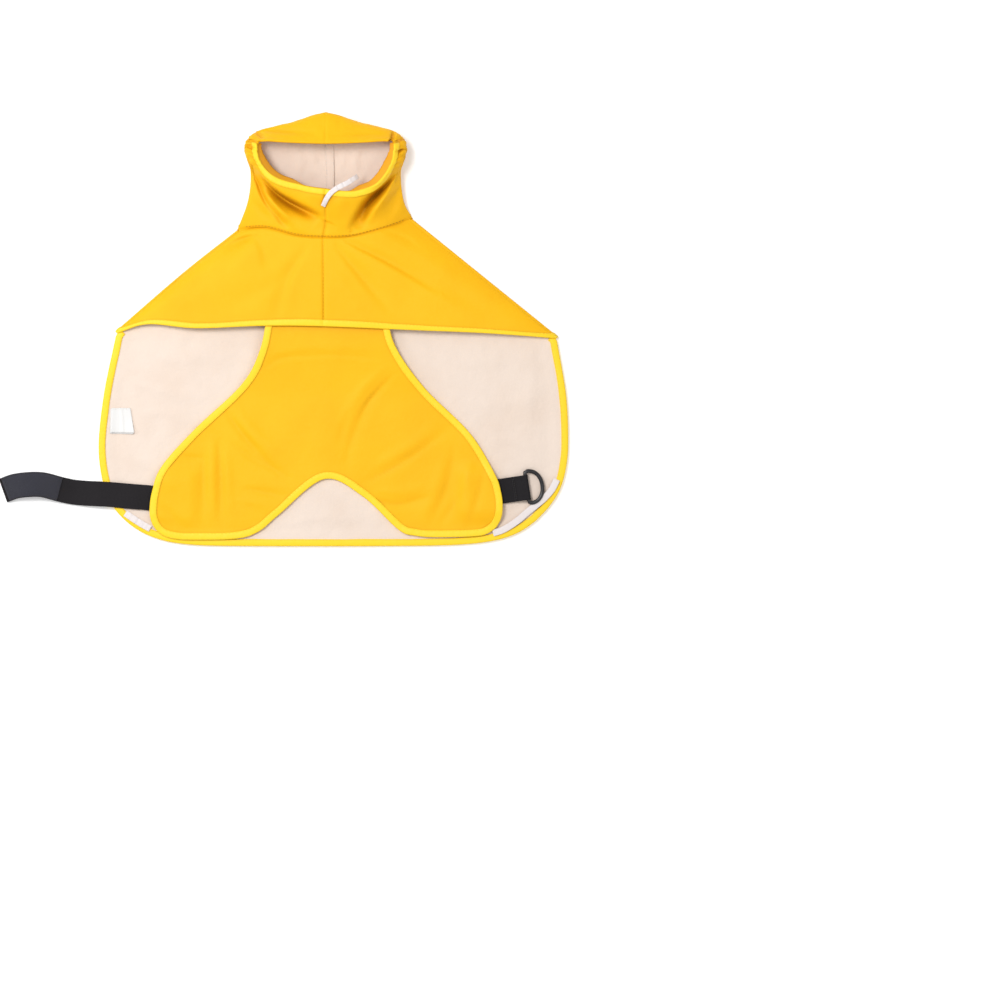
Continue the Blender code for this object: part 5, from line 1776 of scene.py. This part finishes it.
@dataclass
class SmallTrim:
    """Corner elastics, the chin's elastic end and the bare care label."""

    lining: BackLining
    width: float = 6.6 * MM
    wall: float = 0.5 * MM
    corners: dict[str, Table] = field(default_factory=lambda: {
        "elastic_left": ((-199.5, -183.2), (-187.5, -191.3), (-174.5, -198.8)),
        "elastic_right": ((232, -149.5), (226.5, -160), (218.4, -169), (210, -176),
                          (202.5, -182), (194.5, -189), (186, -195.2), (177, -200.2), (168, -203.2)),
    })
    label: Table = ((-213.5, -78), (-194.4, -78), (-190.5, -103), (-214, -102.5))
    chin: Table = ((33, 152.5, 25.8), (29, 150, 30.3), (22, 145.5, 33.4), (14, 141.5, 34),
                   (7, 136.5, 34), (2, 130, 32.6), (-1.5, 123, 30.2))

    def build(self, room: Workroom) -> None:
        """Make every small piece."""
        plan = self.lining.shell.back_plan(0.8 * MM)
        tree = grid_tree(np.dstack([plan, self.lining.height(plan)]))
        self.corner_elastics(room, tree)
        self.care_label(room, tree)
        self.chin_elastic(room)

    def corner_elastics(self, room: Workroom, tree: BVHTree) -> None:
        """Flat white elastics across the two rear corners."""
        for name, places in self.corners.items():
            path = drape(tree, spline(places, 16 * len(places)) * MM, 0.35 * MM, 3 * MM)
            s = np.linspace(0, 1, len(path))
            path[:, 2] += 0.35 * MM * (1 + wander(s, 0.22, 81)) * np.sin(math.pi * s)
            near = nearest(path[:, :2], PATTERN.bound()[::3])[0]
            path[:, 2] += 1.3 * MM * (1 - ease((near - 9.5 * MM) / (3.0 * MM)))
            _, under = Ribbon(self.width, self.wall, Finish.ELASTIC, 9, bow=0.2 * MM).lay(
                room, f"{name}_tape", name, path, flat_across(path))
            ups = upright(5)
            ends = [(resample(under[k] + (0.0, 0.0, self.wall + 0.1 * MM), 5), ups) for k in (2, -3)]
            room.threads(f"{name}_tacks", ends, Finish.PALE_THREAD, name, length=1.3 * MM, space=0.3 * MM)

    def care_label(self, room: Workroom, tree: BVHTree) -> None:
        """Bare white label of two plies."""
        count = 26
        a, b, c, d = (np.array(p) * MM for p in self.label)
        s = np.linspace(0, 1, count)
        plan = patch(a + (b - a) * s[:, None], d + (c - d) * s[:, None], a + (d - a) * s[:, None],
                     b + (c - b) * s[:, None], s, s)
        base = drape(tree, plan.reshape(-1, 2), 0.4 * MM, 3 * MM).reshape(count, count, 3)
        for ply, (name, shift, rise) in enumerate((("care_label_under", (-0.9, -1.1), 0.0),
                                                  ("care_label_top", (0.0, 0.0), 0.5))):
            grid = base.copy()
            grid[..., :2] += np.array(shift) * MM
            # the free end curls up, most at its corners, and the top ply has a crease down its middle
            curl = ease((s - 0.35) / 0.65)[:, None] * (0.4 + 0.9 * (s - 0.45)[None, :] ** 2 * 4)
            crease = 0.5 * bell(s[None, :] - 0.52, 0.05)
            grid[..., 2] += (rise + curl * (0.5 + 0.4 * ply) + crease * ply) * MM
            piece = room.cut(name, [grid], Finish.LABEL, "care_label", 0.3 * MM, Grow.AHEAD,
                             nodes=None if ply else ())
        line = base[1] + (0.0, 0.0, 1.1 * MM)
        room.threads("care_label_stitches", [(line, upright(count))], Finish.PALE_THREAD,
                     "care_label", length=1.8 * MM, space=0.8 * MM)

    def chin_elastic(self, room: Workroom) -> None:
        """Loose end of the elastic that runs in the chin's tape."""
        path = spline(self.chin, 70) * MM
        across = flat_across(path)
        s = np.linspace(0, 1, len(path))
        path[:, 2] += 0.5 * MM * wander(s, 0.11, 91) * np.sin(math.pi * s)
        twist = ease((s - 0.72) / 0.28) * math.radians(28)
        across = across * np.cos(twist)[:, None] + np.array((0.0, 0.0, 1.0)) * np.sin(twist)[:, None]
        _, under = Ribbon(4.8 * MM, 0.7 * MM, Finish.ELASTIC, 11, bow=0.25 * MM).lay(
            room, "chin_elastic_tape", "chin_elastic", path, unit(across))
        ups = upright(5)
        marks = [(resample(under[k] + (0.0, 0.0, 1.0 * MM), 5), ups) for k in (-24, -19, -14, -9)]
        room.threads("chin_elastic_tacks", marks, Finish.PALE_THREAD, "chin_elastic", length=1.5 * MM,
                     space=0.4 * MM)


# ---------------------------------------------------------------------------
# Studio
# ---------------------------------------------------------------------------

@dataclass
class Studio:
    """Pale floor, soft lights and a camera straight above."""

    centre: tuple[float, float] = (0.175, -0.110)
    span: float = 1.0
    height: float = 9.0
    sensor: float = 36.0
    floor_half: float = 4.0
    floor_height: float = -0.9 * MM
    sky_strength: float = 0.46
    # name, place, size and power
    lamps: Sequence[tuple[str, tuple[float, float, float], float, float]] = (
        ("key", (-0.62, 0.56, 1.8), 0.7, 25.0),
        ("fill", (0.9, -0.7, 1.7), 1.4, 6.5),
        ("rake", (-1.3, 0.35, 0.75), 0.5, 3.4),
    )

    def build(self) -> None:
        """Make the floor, the lights and the camera."""
        self.floor()
        for name, place, size, power in self.lamps:
            self.lamp(name, place, size, power)
        world = bpy.data.worlds.new("studio")
        world.use_nodes = True
        sky = world.node_tree.nodes["Background"]
        sky.inputs["Color"].default_value = WHITE
        sky.inputs["Strength"].default_value = self.sky_strength
        bpy.context.scene.world = world
        data = bpy.data.cameras.new("camera")
        data.sensor_width = self.sensor
        data.lens = data.sensor_width * self.height / self.span
        data.clip_end = 4 * self.height
        camera = stand("camera", data)
        camera.location = (*self.centre, self.height)
        bpy.context.scene.camera = camera
        bpy.context.scene.view_settings.view_transform = "Standard"

    def floor(self) -> None:
        """A plain pale surface just under the coat."""
        build = bmesh.new()
        half = self.floor_half
        corners = ((-half, -half), (half, -half), (half, half), (-half, half))
        build.faces.new([build.verts.new((x, y, self.floor_height)) for x, y in corners])
        mesh = bpy.data.meshes.new("floor")
        build.to_mesh(mesh)
        build.free()
        floor = stand("floor", mesh)
        graph = Graph("pale_surface")
        graph.feed(Base_Color=(0.93, 0.93, 0.93, 1.0), Roughness=0.85,
                   Emission_Color=WHITE, Emission_Strength=0.2)
        mesh.materials.append(graph.material)

    def lamp(self, name: str, place: tuple[float, float, float], size: float, power: float) -> None:
        """A square soft light that looks at the coat."""
        data = bpy.data.lights.new(name, "AREA")
        data.size = size
        data.energy = power
        lamp = stand(name, data)
        lamp.location = place
        lamp.rotation_euler = (-Vector(place)).to_track_quat("-Z", "Y").to_euler()


def main() -> None:
    """Build the coat and its studio."""
    logging.basicConfig(level=logging.INFO, format="%(message)s")
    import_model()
    room = Workroom()
    shell, hood, tab = BodyShell(), Hood(), RingTab()
    lining = BackLining(shell)
    for maker in (shell, lining, hood, Visor(hood), BellyFlap(), LeashFlap(), BellyStrap(), tab,
                  DRing(tab), SmallTrim(lining)):
        maker.build(room)
    Studio().build()


if __name__ == "__main__":
    main()
